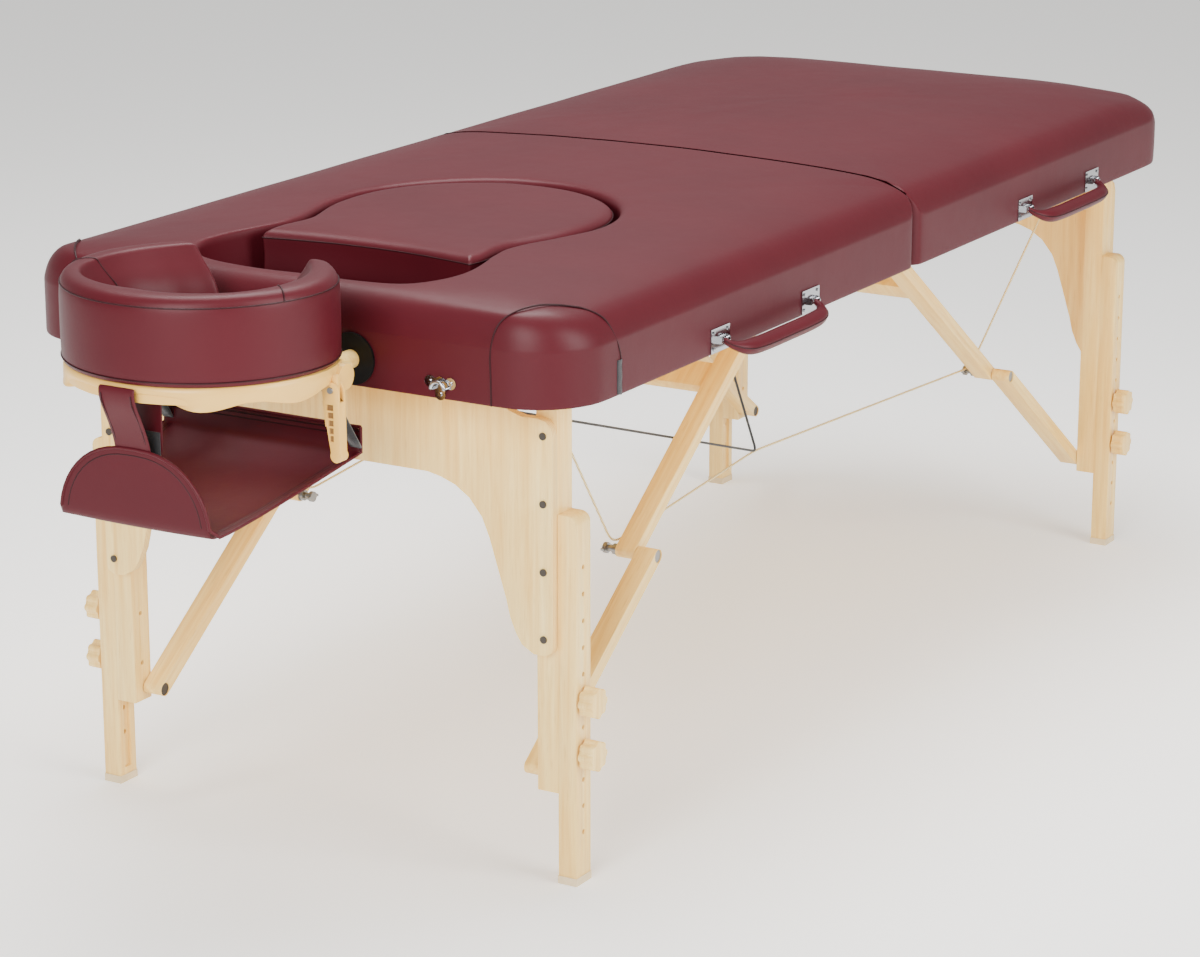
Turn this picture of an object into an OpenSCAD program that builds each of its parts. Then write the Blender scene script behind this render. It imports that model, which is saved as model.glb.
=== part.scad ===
/* [Table top] */
// Width of the table over its cover
table_w = 787; // [760:1:820]
// Length of each half of the table
half_l = 900; // [880:1:930]
// Height of the table top at its middle
table_h = 730; // [715:1:745]
// Radius of the table's outer corners in plan
corner_r = 88; // [75:1:105]
// Radius of the corners at the centre joint
joint_r = 18; // [12:1:24]
// Depth of the padding over the deck, cover included
pad_h = 61; // [54:1:66]
// Thickness of the plywood deck
deck_t = 5; // [4:0.5:7]
// Height of the frame rails
rail_h = 60; // [56:1:64]
// Thickness of the frame rails
rail_t = 14; // [11:1:16]
// Thickness of the vinyl cover with its backing
cover_t = 2.5; // [2:0.1:3.2]

/* [Well and insert] */
// Distance from the head end to the middle of the well
well_in = 420; // [414:1:432]
// Radius of the round part of the well
well_r = 188; // [176:1:191]
// Running gap between the insert and the wall of the well
well_gap = 8; // [6:0.5:12]
// Depth of the insert cushion above its board
insert_h = 53; // [46:1:56]

/* [Legs] */
// Distance from the side of the table to the outer faces of the posts
leg_inset = 65.5; // [62:0.5:72]
// Distance from the head end to the leg pivots
head_leg_in = 104; // [96:1:112]
// Distance from the foot end to the leg pivots
foot_leg_in = 87; // [80:1:100]
// Height of the leg pivots above the frame's underside
pivot_up = 28; // [26:1:30]
// Width of the inner leg posts
post_w = 28.4; // [25:0.2:30]
// Depth of the leg posts and extensions
post_d = 33; // [30:1:34]
// Height of the posts' lower ends above the floor
post_end = 114; // [111:1:118]
// Width of the sliding leg extensions
ext_w = 24.7; // [22:0.1:26]
// Height of the extensions' upper ends above the floor
ext_top = 459; // [445:1:465]
// Pitch of the height holes
hole_pitch = 33; // [31:0.5:34]
// Height of the lowest height hole
hole_first = 65.2; // [60:0.2:70]
// Number of height holes in each extension
hole_count = 11; // [10:1:11]
// Diameter of the height holes
hole_d = 6.2; // [5.6:0.1:7]
// Depth of the groove in the extensions' inner faces
groove_depth = 4; // [3:0.5:6]
// Width of that groove
groove_w = 13; // [11:0.5:15]
// Height of the rubber foot caps
cap_h = 10; // [8:0.5:12]
// Diameter of the height knobs
knob_d = 38; // [32:1:42]
// Thickness of the height knobs
knob_t = 19; // [16:1:22]

/* [End panels] */
// Thickness of the end panels
panel_t = 12; // [10:0.5:14]
// Height of the end panels' lower ends above the floor
panel_z = 287.5; // [280:0.5:300]
// Height of the end panels' upper edges above the frame's underside
panel_rise = 8; // [4:0.5:12]

/* [Folding struts] */
// Distance from the centre joint to the struts' upper pivots
strut_s = 95; // [88:1:100]
// Width of the struts
strut_w = 28; // [26:0.5:28]
// Depth of the struts
strut_d = 18; // [16:0.5:19]
// Height of the struts' lower bolts above the floor
strut_z = 131; // [128:0.5:134]
// Distance of the struts' line inside the leg pivots' line
strut_in = 8; // [7:0.5:8.5]
// Distance from the upper pivots to the struts' crossbar
crossbar_at = 243; // [200:1:260]
// Width of the struts' crossbar
crossbar_w = 40; // [30:1:46]
// Thickness of the struts' crossbar
crossbar_t = 14; // [10:1:15]

/* [Handles and latches] */
// Distance between the plates of a carry handle
handle_span = 236; // [216:1:250]
// Distance from the centre joint to the head half's handle
head_handle_s = 426; // [400:1:450]
// Distance from the centre joint to the foot half's handle
foot_handle_s = 467; // [440:1:490]
// Reach of a carry handle from its pivots
handle_reach = 27; // [24:1:34]
// Radius of a carry handle's padded grip
grip_r = 11; // [9:0.5:12]
// Droop of a carry handle below level at rest
handle_droop = 30; // [10:1:40]
// Distance of the latches from the middle of the table
latch_x = 226; // [210:1:240]

/* [Face cradle] */
// Distance of the dowels from the middle of the table
dowel_x = 105; // [100:1:112]
// Diameter of the cradle's dowels
dowel_d = 22; // [20:0.5:24]
// Height of the dowels above the frame's underside
dowel_up = 33; // [31:0.5:35]
// Depth of the dowels' insertion from the head face
dowel_in = 92; // [80:1:100]
// Distance from the head face to the middle of the face cushion
cushion_out = 138; // [128:1:142]
// Outer radius of the face cushion
cushion_r = 168; // [162:1:178]
// Height of the face cushion's side
cushion_h = 86; // [72:1:90]
// Height of the crown on the face cushion
cushion_crown = 14; // [8:1:16]
// Thickness of the cradle platform
platform_t = 9; // [7:0.5:11]
// Distance from the head face to the cradle's tilt axis
tilt_out = 95; // [90:1:100]
// Length of the cam lever below its pivot
lever_l = 82; // [70:1:95]
// Thickness of the cam lever
lever_t = 14; // [11:0.5:16]

/* [Arm sling] */
// Half width of the sling at its front
sling_front_x = 104; // [95:1:112]
// Half width of the sling at its rear
sling_rear_x = 140; // [130:1:146]
// Distance from the head face to the sling's front panel
sling_front_out = 282; // [270:1:290]
// Distance from the head face to the sling's rear band
sling_rear_out = 38; // [30:1:50]
// Height of the sling's front panel
sling_panel_h = 90; // [75:1:100]
// Thickness of the sling's sheet
sling_t = 3; // [2.4:0.1:4]
// Width of the front strap
strap_w = 50; // [40:1:60]

/* [Cables and cords] */
// Diameter of the steel stay cables
cable_d = 3; // [2.4:0.2:4]
// Diameter of the black elastic cords
elastic_d = 3.4; // [3:0.2:5]

/* [Hidden] */
// Which piece is drawn

// Colours of the materials
burgundy = "#8c3e46";
birch = "#eedebe";
cream = "#ecdfc4";
foam_grey = "#b9b4ac";
steel = "#9a9ca0";
chrome = "#c8cacd";
black = "#1d1c1e";

// Clearance between soft pieces and what they lie against
soft_gap = 0.3;
// Clearance between sliding flat faces
slide_gap = 0.15;
// Clearance between stacked layers of wood
layer_gap = 1.2;
// Radial clearance of pins in their bores
pin_gap = 0.05;
// Overrun of cuts
over = 1;

// Derived places of the table top
half_w = table_w / 2;
skin = cover_t + soft_gap;
foam_in = skin + soft_gap;
frame_z = table_h - pad_h - deck_t - rail_h;
deck_z = frame_z + rail_h;
deck_top = deck_z + deck_t;
rail_in = half_w - skin - rail_t;
well_s = half_l - well_in;

// Half the gap between the two halves at the centre joint
joint_gap = 0.15;

// Section of the padding, as [distance share, height share] of half_w and pad_h
crown_shares = [[0, 0.04], [0.0076, 0.19], [0.0356, 0.475], [0.0864, 0.67], [0.168, 0.8],
  [0.363, 0.9], [0.635, 0.967], [1, 1], [3, 1]];
// Least height of the padding, as a share of pad_h
least_share = 0.03;
// Steepness of the padding's edge at the ends, as a share of the sides'
end_steep_share = 2.2;
// Drop of the padding beside the centre joint, as shares of corner_r and pad_h
joint_shares = [[0, 0.164], [0.017, 0.082], [0.057, 0.03], [0.136, 0.007], [0.25, 0], [30, 0]];
// Drop of the padding beside the well, as shares of well_r and pad_h
rim_shares = [[-1, 0.2], [0, 0.15], [0.008, 0.09], [0.027, 0.04], [0.075, 0.008], [0.16, 0], [9, 0]];
// Insets of the cover's outer rings, as shares of corner_r
ring_shares = [0, 0.034, 0.16, 0.386];
// Part of a ring's inset used on the ends and along the centre joint
end_inset_share = 0.6;
joint_inset_share = 0.25;
// Set-back and drop of an inner skin at each ring, as shares of its depth
shift_shares = [1, 0.8, 0.5, 0.2];
drop_shares = [0.2, 0.6, 0.9, 1];
// Rings beside the well, as shares of well_r
well_ring_shares = [0.075, 0.027, 0.008, 0];

// Outline of the well, as [angle, share of well_r]; an angle of -90 points to the head end
well_shares = [[-90, 1.98], [-78, 2.03], [-68, 2.09], [-62, 2.02], [-57, 1.8], [-52, 1.42],
  [-46, 1.21], [-35, 1.08], [-20, 1.02], [0, 1], [90, 1]];
// Outline of the insert, as [angle, share of its radius]
insert_shares = [[-90, 1.22], [-71, 1.33], [-58, 1.57], [-54, 1.47], [-49, 1.26], [-40, 1.12],
  [-30, 1.06], [-15, 1.02], [0, 1], [90, 1]];

// Outlines of the face cushion, as [angle, share of cushion_r]; -90 is its front
cushion_outer_shares = [[-90, 0.99], [-45, 0.99], [0, 1], [25, 0.955], [38.7, 0.91]];
cushion_inner_shares = [[-90, 0.53], [-60, 0.625], [-30, 0.716], [0, 0.59], [30, 0.54],
  [45, 0.557], [59, 0.63]];

// Right half of the end panel, as [share of leg_x, share of panel_h]
panel_shares = [[0.777, 1], [0.799, 0.938], [0.817, 0.901], [0.875, 0.883], [0.939, 0.885],
  [0.973, 0.877], [0.994, 0.854], [1, 0.821], [1, 0.0385], [0.994, 0.014], [0.97, 0],
  [0.921, 0], [0.872, 0.028], [0.848, 0.065], [0.823, 0.123], [0.806, 0.193], [0.759, 0.344],
  [0.738, 0.411], [0.707, 0.485], [0.654, 0.55], [0.595, 0.59], [0.535, 0.612], [0.476, 0.624]];
// Heights of the panel's screws, as shares of panel_h
panel_screw_shares = [0.823, 0.571, 0.316, 0.062];
panel_screw_x_share = 0.963;

// Derived places of the legs
leg_x = half_w - leg_inset;
post_x = leg_x - post_w;
low_x = post_x - layer_gap - strut_w;
up_x = low_x - layer_gap - strut_w;
pivot_z = frame_z + pivot_up;
strut_top_z = pivot_z + strut_in;
head_s = half_l - head_leg_in;
foot_s = half_l - foot_leg_in;
panel_h = frame_z + panel_rise - panel_z;
ext_x = leg_x + slide_gap;
ext_out = ext_x + ext_w;
knob_upper_z = hole_first + 5 * hole_pitch;
knob_lower_z = hole_first + 3 * hole_pitch;

// Small sizes of the pivots and bolts
pivot_r = 4;
bolt_r = 3;
bolt_head_r = 8;
bolt_head_t = 3;
head_sink = 4.5;
sink_r = 9;
screw_r = 2;
screw_head_r = 4.5;
screw_head_t = 1.6;
screw_l = 24;
block_half = 25;
block_gap = 0.3;
strut_block_half = 20;
strut_block_w = 26;
anchor_w = 14;
anchor_t = 3;
anchor_in = 48;
anchor_x = leg_x - anchor_in;
anchor_drop = 26;
anchor_eye_r = 5;
wing_r = 11;
wing_t = 3;
stud_out = 20;
nut_r = 7;
nut_t = 5;
washer_r = 8;
washer_t = 1.5;
cap_wall = 0.8;
cap_floor = 6;
hub_r = 8;
hub_t = 3;
knob_lobes = 8;
lobe_r = 5;

// Small sizes of the centre hinges
hinge_in = 93.5;
hinge_x = half_w - hinge_in;
hinge_half = 40;
knuckle_r = 4;
hinge_pin_r = 1.5;
leaf_t = 1.6;
leaf_reach = 17;
leaf_start = 4.6;
leaf_root = 1.5;
knuckle_gap = 0.3;
hinge_z = frame_z - knuckle_r - knuckle_gap;

// Small sizes of the sockets, keepers and latches
socket_r = 31;
socket_t = 3;
sleeve_r = 15;
plate_t = 1.5;
keeper_lobe_r = 7;
keeper_half = 14;
keeper_low = 6;
keeper_high = 20;
keeper_rod_r = 2;
keeper_loop_r = 9;
keeper_off = 6;
latch_plate_w = 30;
latch_plate_h = 40;
latch_off = 8;
latch_z = 12;
latch_pin_r = 2;
latch_eye_r = 5;
latch_ear_t = 2.5;
hook_w = 9;
hook_t = 3;
hook_l = 40;
hook_nose = 6;

// Small sizes of the carry handles
handle_plate_w = 46;
handle_plate_h = 30;
handle_off = 6;
handle_pin_r = 2;
handle_eye_r = 4.5;
handle_eye_l = 15;
handle_ear_t = 2;
handle_ear_gap = 0.4;
handle_up = 17;

// Small sizes of the face cradle
cradle_s = half_l + cushion_out;
tilt_s = half_l + tilt_out;
dowel_z = frame_z + dowel_up;
tilt_up = 6;
tilt_z = dowel_z + tilt_up;
tilt_pin_r = 3;
frame_lug_r = 6.5;
frame_lug_x = 128;
lug_w = 16;
lug_gap = 1.5;
hub_lug_r = 15;
cross_out = 55;
cross_d = 20;
cross_x = 142;
platform_up = 13;
platform_z = dowel_z + platform_up;
platform_top = platform_z + platform_t;
platform_inset = 5;
rim_drop = 10;
rim_t = 4;
lever_out = 24;
lever_x = 160;
lever_pivot_drop = 18;
lever_pin_r = 3;
tab_r = 7;
tab_half = 3.3;
cheek_r = 11;
cheek_gap = 0.3;
cheek_t = lever_t / 2 - tab_half - cheek_gap;
lever_z = platform_z - lever_pivot_drop;
lever_tip_r = 7.5;
pocket_w = 9;
pocket_h = 7;
pocket_d = 2;
pocket_step = 1;
pocket_count = 5;

// Small sizes of the arm sling
sling_drop = 147;
sling_z = dowel_z - sling_drop;
sling_rise = 48;
sling_sag = 9;
band_h = 30;
strap_gap = 22;
rear_strap_w = 15;
rear_strap_out = 112;

// Insert cushion sizes
insert_r = well_r - well_gap;
insert_crown = 7;

// Rises and reaches of the cables
ring_s = 148;
ring_drop = 241;
ring_z = frame_z - ring_drop;
cable_in = 9.2;
cable_x = up_x - cable_in;
cable_lift = 6;
elastic_top_s = 310;
elastic_drop = 57;
elastic_panel_z = pivot_z - elastic_drop;
elastic_panel_x = up_x - layer_gap;

// Lengths, angles and knees of the folding struts for legs at distance ls
function strut_run(ls) = ls - strut_in - strut_s;
function strut_span(ls) = norm([strut_run(ls), strut_top_z - strut_z]);
function strut_flat(ls) = ls - (pivot_z - strut_z) - strut_s;
function strut_upper(ls) = (strut_span(ls) + strut_flat(ls)) / 2;
function strut_lower(ls) = (strut_span(ls) - strut_flat(ls)) / 2;
function strut_angle(ls) = atan2(strut_top_z - strut_z, strut_run(ls));
function knee_s(ls) = strut_s + strut_upper(ls) * cos(strut_angle(ls));
function knee_z(ls) = strut_top_z - strut_upper(ls) * sin(strut_angle(ls));

// Places the design so that its box stands on the origin
x_mid = (handle_off + handle_reach * cos(handle_droop) + grip_r) / 2;
y_mid = -(cushion_out + cushion_r * cushion_outer_shares[0][1] - latch_off - latch_eye_r) / 2;
module placed() { translate([-x_mid, -y_mid, 0]) children(); }
module head_half() { mirror([0, 1, 0]) children(); }
module both_sides() { children(); mirror([1, 0, 0]) children(); }
// A rod along X from x0 to x1
module rod_x(x0, x1, r) { translate([x0, 0, 0]) rotate([0, 90, 0]) cylinder(h = x1 - x0, r = r, $fn = 48); }
// A rod along Y from y0 to y1
module rod_y(y0, y1, r) { translate([0, y0, 0]) rotate([-90, 0, 0]) cylinder(h = y1 - y0, r = r, $fn = 48); }
function lerp(a, b, t) = a + (b - a) * t;

// Plan of one half of the table, set in by d
module plan(d) {
  w = half_w - d;
  r = corner_r - d;
  j = max(joint_r - d, over);
  translate([-w + r, d]) square([2 * (w - r), half_l - 2 * d]);
  translate([-w, d + j]) square([2 * w, half_l - 2 * d - r - j]);
  for (m = [-1, 1]) {
    translate([m * (w - r), half_l - d - r]) circle(r = r, $fn = 96);
    translate([m * (w - j), d + j]) circle(r = j, $fn = 48);
  }
  translate([-w + j, d]) square([2 * (w - j), j]);
}

// Distance from the table's edge, the ends counting as steeper
function edge_dist(x, s) =
  let (a = corner_r - (half_w - abs(x)), b = corner_r - (half_l - s))
  (a > 0 && b > 0)
    ? min(half_w - abs(x),
        (corner_r - norm([a, b])) * (1 + (end_steep_share - 1) * b * b / (a * a + b * b)))
    : min(half_w - abs(x), (half_l - s) * end_steep_share);
function well_dist(x, s) =
  norm([x, s - well_s]) - well_r * lookup(atan2(well_s - s, abs(x)), well_shares);
// Height of the padding's top at a place in plan
function top_z(x, s, well) = deck_top + pad_h * max(least_share,
  lookup(max(edge_dist(x, s), 0) / half_w, crown_shares) - lookup(max(s, 0) / corner_r, joint_shares)
  - (well ? lookup(well_dist(x, s) / well_r, rim_shares) : 0));

// Stations round one half of the table: [x, s, normal x, normal s]
joint_n = 8;
side_n = 5;
end_n = 7;
jx = half_w - joint_r;
cx = half_w - corner_r;
cs = half_l - corner_r;
// Radii of the stations at the corners, a little larger so that their chords clear the rails
corner_out = corner_r / cos(10);
joint_out = joint_r / cos(30);
function corner_station(a, m) =
  [m * (cx + corner_out * cos(a)), cs + corner_out * sin(a), m * cos(a), sin(a)];
function joint_station(a, m) =
  [m * (jx + joint_out * cos(a)), joint_r + joint_out * sin(a), m * cos(a), sin(a)];
stations = concat(
  [for (i = [0 : joint_n]) [lerp(-jx, jx, i / joint_n), 0, 0, -1]],
  [for (a = [-60, -30]) joint_station(a, 1)],
  [for (i = [0 : side_n]) [half_w, lerp(joint_r, cs, i / side_n), 1, 0]],
  [for (a = [10 : 10 : 80]) corner_station(a, 1)],
  [for (i = [0 : end_n]) [lerp(cx, -cx, i / end_n), half_l, 0, 1]],
  [for (a = [80 : -10 : 10]) corner_station(a, -1)],
  [for (i = [0 : side_n]) [-half_w, lerp(cs, joint_r, i / side_n), -1, 0]],
  [for (a = [-30, -60]) joint_station(a, -1)]);
// A place set in from a station by d, and by t more for an inner skin
function inset(st, d, t) = [
  st[0] - st[2] * (d + t),
  st[1] - st[3] * (d * (st[3] > 0 ? lerp(1, end_inset_share, st[3])
    : lerp(1, joint_inset_share, -st[3])) + t) + joint_gap];
function outer_ring(k, t, well) = [for (st = stations)
  let (d = ring_shares[k] * corner_r, p = inset(st, d, 0), q = inset(st, d, t * shift_shares[k]))
  [q[0], q[1], top_z(p[0], p[1], well) - t * drop_shares[k]]];
function wall_ring(t, z) = [for (st = stations) let (q = inset(st, 0, t)) [q[0], q[1], z]];
// A place on the wall of the well in a station's direction, set back by w
function well_place(st, w) =
  let (r = well_r * lookup(atan2(well_s - st[1], abs(st[0])), well_shares) + w,
    a = atan2(st[1] - well_s, st[0]))
  [r * cos(a), well_s + r * sin(a)];
function well_ring(k, t) = [for (st = stations)
  let (w = well_ring_shares[k] * well_r, p = well_place(st, w),
    q = well_place(st, w + t * shift_shares[3 - k]))
  [q[0], q[1], top_z(p[0], p[1], true) - t * drop_shares[3 - k]]];
function well_wall(t, z) = [for (st = stations) let (q = well_place(st, t)) [q[0], q[1], z]];
function mid_ring(share, t) = let (a = outer_ring(3, t, true), b = well_ring(0, t))
  [for (i = [0 : len(a) - 1]) let (p = lerp(a[i], b[i], share)) [p[0], p[1], top_z(p[0], p[1], true) - t]];
function centre_ring(share, t) = let (a = outer_ring(3, t, false), c = [0, half_l / 2, 0])
  [for (q = a) let (p = lerp(q, c, share)) [p[0], p[1], top_z(p[0], p[1], false) - t]];

// Triangles between successive rings of n points; the last ring meets the first where closed, and
// each four-sided field is split the other way where turned
function ring_faces(m, n, closed, turned = false) = [for (j = [0 : m - (closed ? 1 : 2)], i = [0 : n - 1])
  let (a = j * n + i, b = j * n + (i + 1) % n, c = ((j + 1) % m) * n + i,
    d = ((j + 1) % m) * n + (i + 1) % n)
  each (turned ? [[a, c, d], [a, d, b]] : [[a, c, b], [b, c, d]])];
function joined(rings) = [for (r = rings) each r];
// A body whose rings close on themselves
module hoop(rings, turned = false) {
  polyhedron(joined(rings), ring_faces(len(rings), len(rings[0]), true, turned));
}
// A body closed by a tip past its first and last rings
module lens(rings, first, last, turned = false) {
  m = len(rings);
  n = len(rings[0]);
  polyhedron(concat(joined(rings), [first, last]), concat(ring_faces(m, n, false, turned),
    [for (i = [0 : n - 1]) [m * n, i, (i + 1) % n]],
    [for (i = [0 : n - 1]) [m * n + 1, (m - 1) * n + (i + 1) % n, (m - 1) * n + i]]));
}
// A round cord of radius r through points that lie near one upright plane
module cord(pts, r) {
  n = len(pts);
  across = [1, 0, 0];
  rings = [for (i = [0 : n - 1])
    let (d = pts[min(i + 1, n - 1)] - pts[max(i - 1, 0)], u = cross(d / norm(d), across), v = u / norm(u))
    [for (k = [0 : 7]) pts[i] + r * (across * cos(k * 45) + v * sin(k * 45))]];
  lens(rings, pts[0], pts[n - 1]);
}
function skin_top_well(t) = [for (k = [0 : 3]) outer_ring(k, t, true)];
function skin_well_wall(t) = [for (k = [0 : 3]) well_ring(k, t)];
function reversed(v) = [for (i = [len(v) - 1 : -1 : 0]) v[i]];

// Table top pieces, drawn with s along +Y from the centre joint
module frame_half() {
  translate([0, joint_gap, frame_z]) linear_extrude(rail_h) difference() {
    plan(skin);
    plan(skin + rail_t);
  }
}
module deck_half() { translate([0, joint_gap, deck_z]) linear_extrude(deck_t) plan(skin); }
module foam_well() {
  t = foam_in;
  hoop(concat([wall_ring(t, deck_top)], skin_top_well(t), [mid_ring(0.5, t)], skin_well_wall(t),
    [well_wall(t, deck_top)]), true);
}
module cover_well() {
  t = cover_t;
  hoop(concat([wall_ring(0, frame_z)], skin_top_well(0), [mid_ring(0.5, 0)], skin_well_wall(0),
    [well_wall(0, deck_top), well_wall(t, deck_top)], reversed(skin_well_wall(t)), [mid_ring(0.5, t)],
    reversed(skin_top_well(t)), [wall_ring(t, frame_z)]));
}
function lid_rings(t) = concat([for (share = [0.75, 0.4]) centre_ring(share, t)],
  reversed([for (k = [0 : 3]) outer_ring(k, t, false)]));
function lid_tip(t) = [0, half_l / 2, top_z(0, half_l / 2, false) - t];
module foam_plain() {
  lens(concat(lid_rings(foam_in), [wall_ring(foam_in, deck_top)]), lid_tip(foam_in),
    [0, half_l / 2, deck_top], true);
}
module cover_plain() {
  lens(concat(lid_rings(0), [wall_ring(0, frame_z), wall_ring(cover_t, frame_z)],
    reversed(lid_rings(cover_t))), lid_tip(0), lid_tip(cover_t));
}
module insert_body() {
  z0 = deck_top;
  function at(d, z) = [for (a = [0 : 7.5 : 352.5])
    let (c = [cos(a), sin(a)], r = insert_r * lookup(atan2(-c[1], abs(c[0])), insert_shares) - d)
    [r * c[0], well_s + r * c[1], z]];
  d = insert_r / 60;
  h = insert_h;
  lens(reversed([at(d, z0), at(0, z0 + h * 0.12), at(d / 2, z0 + h * 0.55), at(0, z0 + h * 0.93),
    at(d, z0 + h), at(6 * d, z0 + h + insert_crown / 2), at(20 * d, z0 + h + insert_crown * 0.9)]),
    [0, well_s, z0 + h + insert_crown], [0, well_s, z0]);
}
end_s = half_l + joint_gap;

// Fittings of the table top
module sockets() {
  both_sides() difference() {
    union() {
      translate([dowel_x, 0, dowel_z]) rod_y(end_s + soft_gap, end_s + soft_gap + socket_t, socket_r);
      translate([dowel_x, 0, dowel_z]) rod_y(end_s - skin - rail_t, end_s + soft_gap + over, sleeve_r);
    }
    translate([dowel_x, 0, dowel_z])
      rod_y(end_s - skin - rail_t - over, end_s + socket_t + over + soft_gap, dowel_d / 2 + pin_gap);
  }
}
module socket_holes(r) {
  both_sides() translate([dowel_x, 0, dowel_z]) rod_y(end_s - skin - rail_t - over, end_s + over, r);
}
module keeper() {
  translate([latch_x, end_s + soft_gap + plate_t, frame_z]) rotate([90, 0, 0]) {
    linear_extrude(plate_t) {
      polygon([[-keeper_half - keeper_lobe_r / 2, keeper_high], [0, keeper_low - keeper_lobe_r / 2],
        [keeper_half + keeper_lobe_r / 2, keeper_high], [0, keeper_high + keeper_lobe_r]]);
      for (p = [[-keeper_half, keeper_high], [keeper_half, keeper_high], [0, keeper_low]])
        translate(p) circle(r = keeper_lobe_r, $fn = 48);
    }
    for (m = [-1, 1]) translate([m * keeper_loop_r, keeper_low + keeper_lobe_r, -keeper_off])
      cylinder(h = keeper_off + plate_t / 2, r = keeper_rod_r, $fn = 32);
    translate([0, keeper_low + keeper_lobe_r, -keeper_off]) rotate_extrude(angle = 180, $fn = 48)
      translate([keeper_loop_r, 0]) circle(r = keeper_rod_r, $fn = 24);
    for (p = [[-keeper_half, keeper_high], [keeper_half, keeper_high], [0, keeper_low]])
      translate([p[0], p[1], -screw_head_t]) cylinder(h = screw_head_t, r = screw_head_r / 2, $fn = 32);
  }
}
module handle_plate() {
  x = half_w + soft_gap;
  hx = half_w + handle_off;
  difference() {
    translate([x, -handle_plate_w / 2, -handle_plate_h / 2]) cube([plate_t, handle_plate_w, handle_plate_h]);
    translate([hx, 0, 0]) rod_y(-handle_eye_l / 2 - handle_ear_gap, handle_eye_l / 2 + handle_ear_gap,
      handle_eye_r + handle_ear_gap);
  }
  for (y = [-handle_eye_l / 2 - handle_ear_gap - handle_ear_t, handle_eye_l / 2 + handle_ear_gap])
    translate([0, y, 0]) {
      translate([x, 0, -handle_eye_r]) cube([hx - x, handle_ear_t, 2 * handle_eye_r]);
      translate([hx, 0, 0]) rod_y(0, handle_ear_t, handle_eye_r);
    }
  translate([hx, 0, 0]) rod_y(-handle_eye_l / 2 - handle_ear_gap, handle_eye_l / 2 + handle_ear_gap,
    handle_pin_r);
  for (y = [-1, 1], z = [-1, 1])
    translate([x + plate_t, y * handle_plate_w * 0.38, z * handle_plate_h * 0.33])
      rod_x(0, screw_head_t, screw_head_r / 2);
}
module handle_plates(s) {
  for (m = [-1, 1]) translate([0, s + m * handle_span / 2, frame_z + handle_up]) handle_plate();
}
// Route of the grip from one pivot to the other, as shares of half the span and of the reach
grip_shares = [[1, 0], [1, 0.3], [0.955, 0.55], [0.87, 0.8], [0.72, 0.95], [0.4, 1], [0, 1]];
grip_size_shares = [0.36, 0.4, 0.5, 0.75, 1, 1, 1];
module handle(s) {
  n = len(grip_shares);
  path = concat(grip_shares, [for (i = [n - 2 : -1 : 0]) [-grip_shares[i][0], grip_shares[i][1]]]);
  size = concat(grip_size_shares, [for (i = [n - 2 : -1 : 0]) grip_size_shares[i]]);
  m = len(path);
  pts = [for (p = path) [p[0] * handle_span / 2, p[1] * handle_reach]];
  rings = [for (i = [0 : m - 1])
    let (a = pts[max(i - 1, 0)], b = pts[min(i + 1, m - 1)], d = (b - a) / norm(b - a),
      r = grip_r * size[i])
    [for (k = [0 : 9]) let (c = cos(k * 36), e = sin(k * 36))
      [pts[i][1] + r * c * d[0] * -1, pts[i][0] + r * c * d[1], r * e]]];
  translate([half_w + handle_off, s, frame_z + handle_up]) rotate([0, handle_droop, 0]) {
    difference() {
      union() {
        lens(rings, [0, handle_span / 2, 0], [0, -handle_span / 2, 0]);
        for (q = [-1, 1]) translate([0, q * handle_span / 2, 0])
          rod_y(-handle_eye_l / 2, handle_eye_l / 2, handle_eye_r);
      }
      for (q = [-1, 1]) translate([0, q * handle_span / 2, 0])
        rod_y(-handle_eye_l / 2 - over, handle_eye_l / 2 + over, handle_pin_r + pin_gap);
    }
  }
}
module latch_plate() {
  translate([latch_x - latch_plate_w / 2, end_s + soft_gap, frame_z + over])
    cube([latch_plate_w, plate_t, latch_plate_h]);
  for (m = [-1, 1]) translate([latch_x + m * (hook_w / 2 + pin_gap + latch_ear_t / 2) - latch_ear_t / 2,
    0, frame_z + latch_z]) {
    translate([0, end_s + soft_gap, -latch_eye_r])
      cube([latch_ear_t, latch_off - soft_gap, 2 * latch_eye_r]);
    translate([0, end_s + latch_off, 0]) rod_x(0, latch_ear_t, latch_eye_r);
  }
  translate([latch_x, end_s + latch_off, frame_z + latch_z])
    rod_x(-hook_w / 2 - pin_gap, hook_w / 2 + pin_gap, latch_pin_r);
}
module latch_hook() {
  translate([latch_x, end_s + latch_off, frame_z + latch_z]) difference() {
    union() {
      rod_x(-hook_w / 2, hook_w / 2, latch_eye_r);
      translate([-hook_w / 2, -hook_t / 2, -hook_l]) cube([hook_w, hook_t, hook_l]);
      translate([-hook_w / 2, -hook_nose, -hook_l]) cube([hook_w, hook_nose, hook_t]);
    }
    rod_x(-hook_w, hook_w, latch_pin_r + pin_gap);
  }
}
module leaf(foot) {
  seg = 2 * hinge_half / 3;
  for (x = [-hinge_x, 0, hinge_x]) translate([x, 0, 0]) {
    translate([-hinge_half, leaf_start, frame_z - leaf_t])
      cube([2 * hinge_half, leaf_reach - leaf_start, leaf_t]);
    difference() {
      for (k = foot ? [1] : [0, 2]) translate([-hinge_half + k * seg + knuckle_gap / 2, 0, 0]) {
        translate([0, leaf_root, frame_z - leaf_t])
          cube([seg - knuckle_gap, leaf_start - leaf_root, leaf_t]);
        translate([0, 0, hinge_z]) rod_x(0, seg - knuckle_gap, knuckle_r);
      }
      translate([0, 0, hinge_z]) rod_x(-hinge_half - over, hinge_half + over,
        hinge_pin_r + (foot ? pin_gap : 0));
    }
    if (!foot) translate([0, 0, hinge_z]) rod_x(-hinge_half, hinge_half, hinge_pin_r);
  }
}

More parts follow.
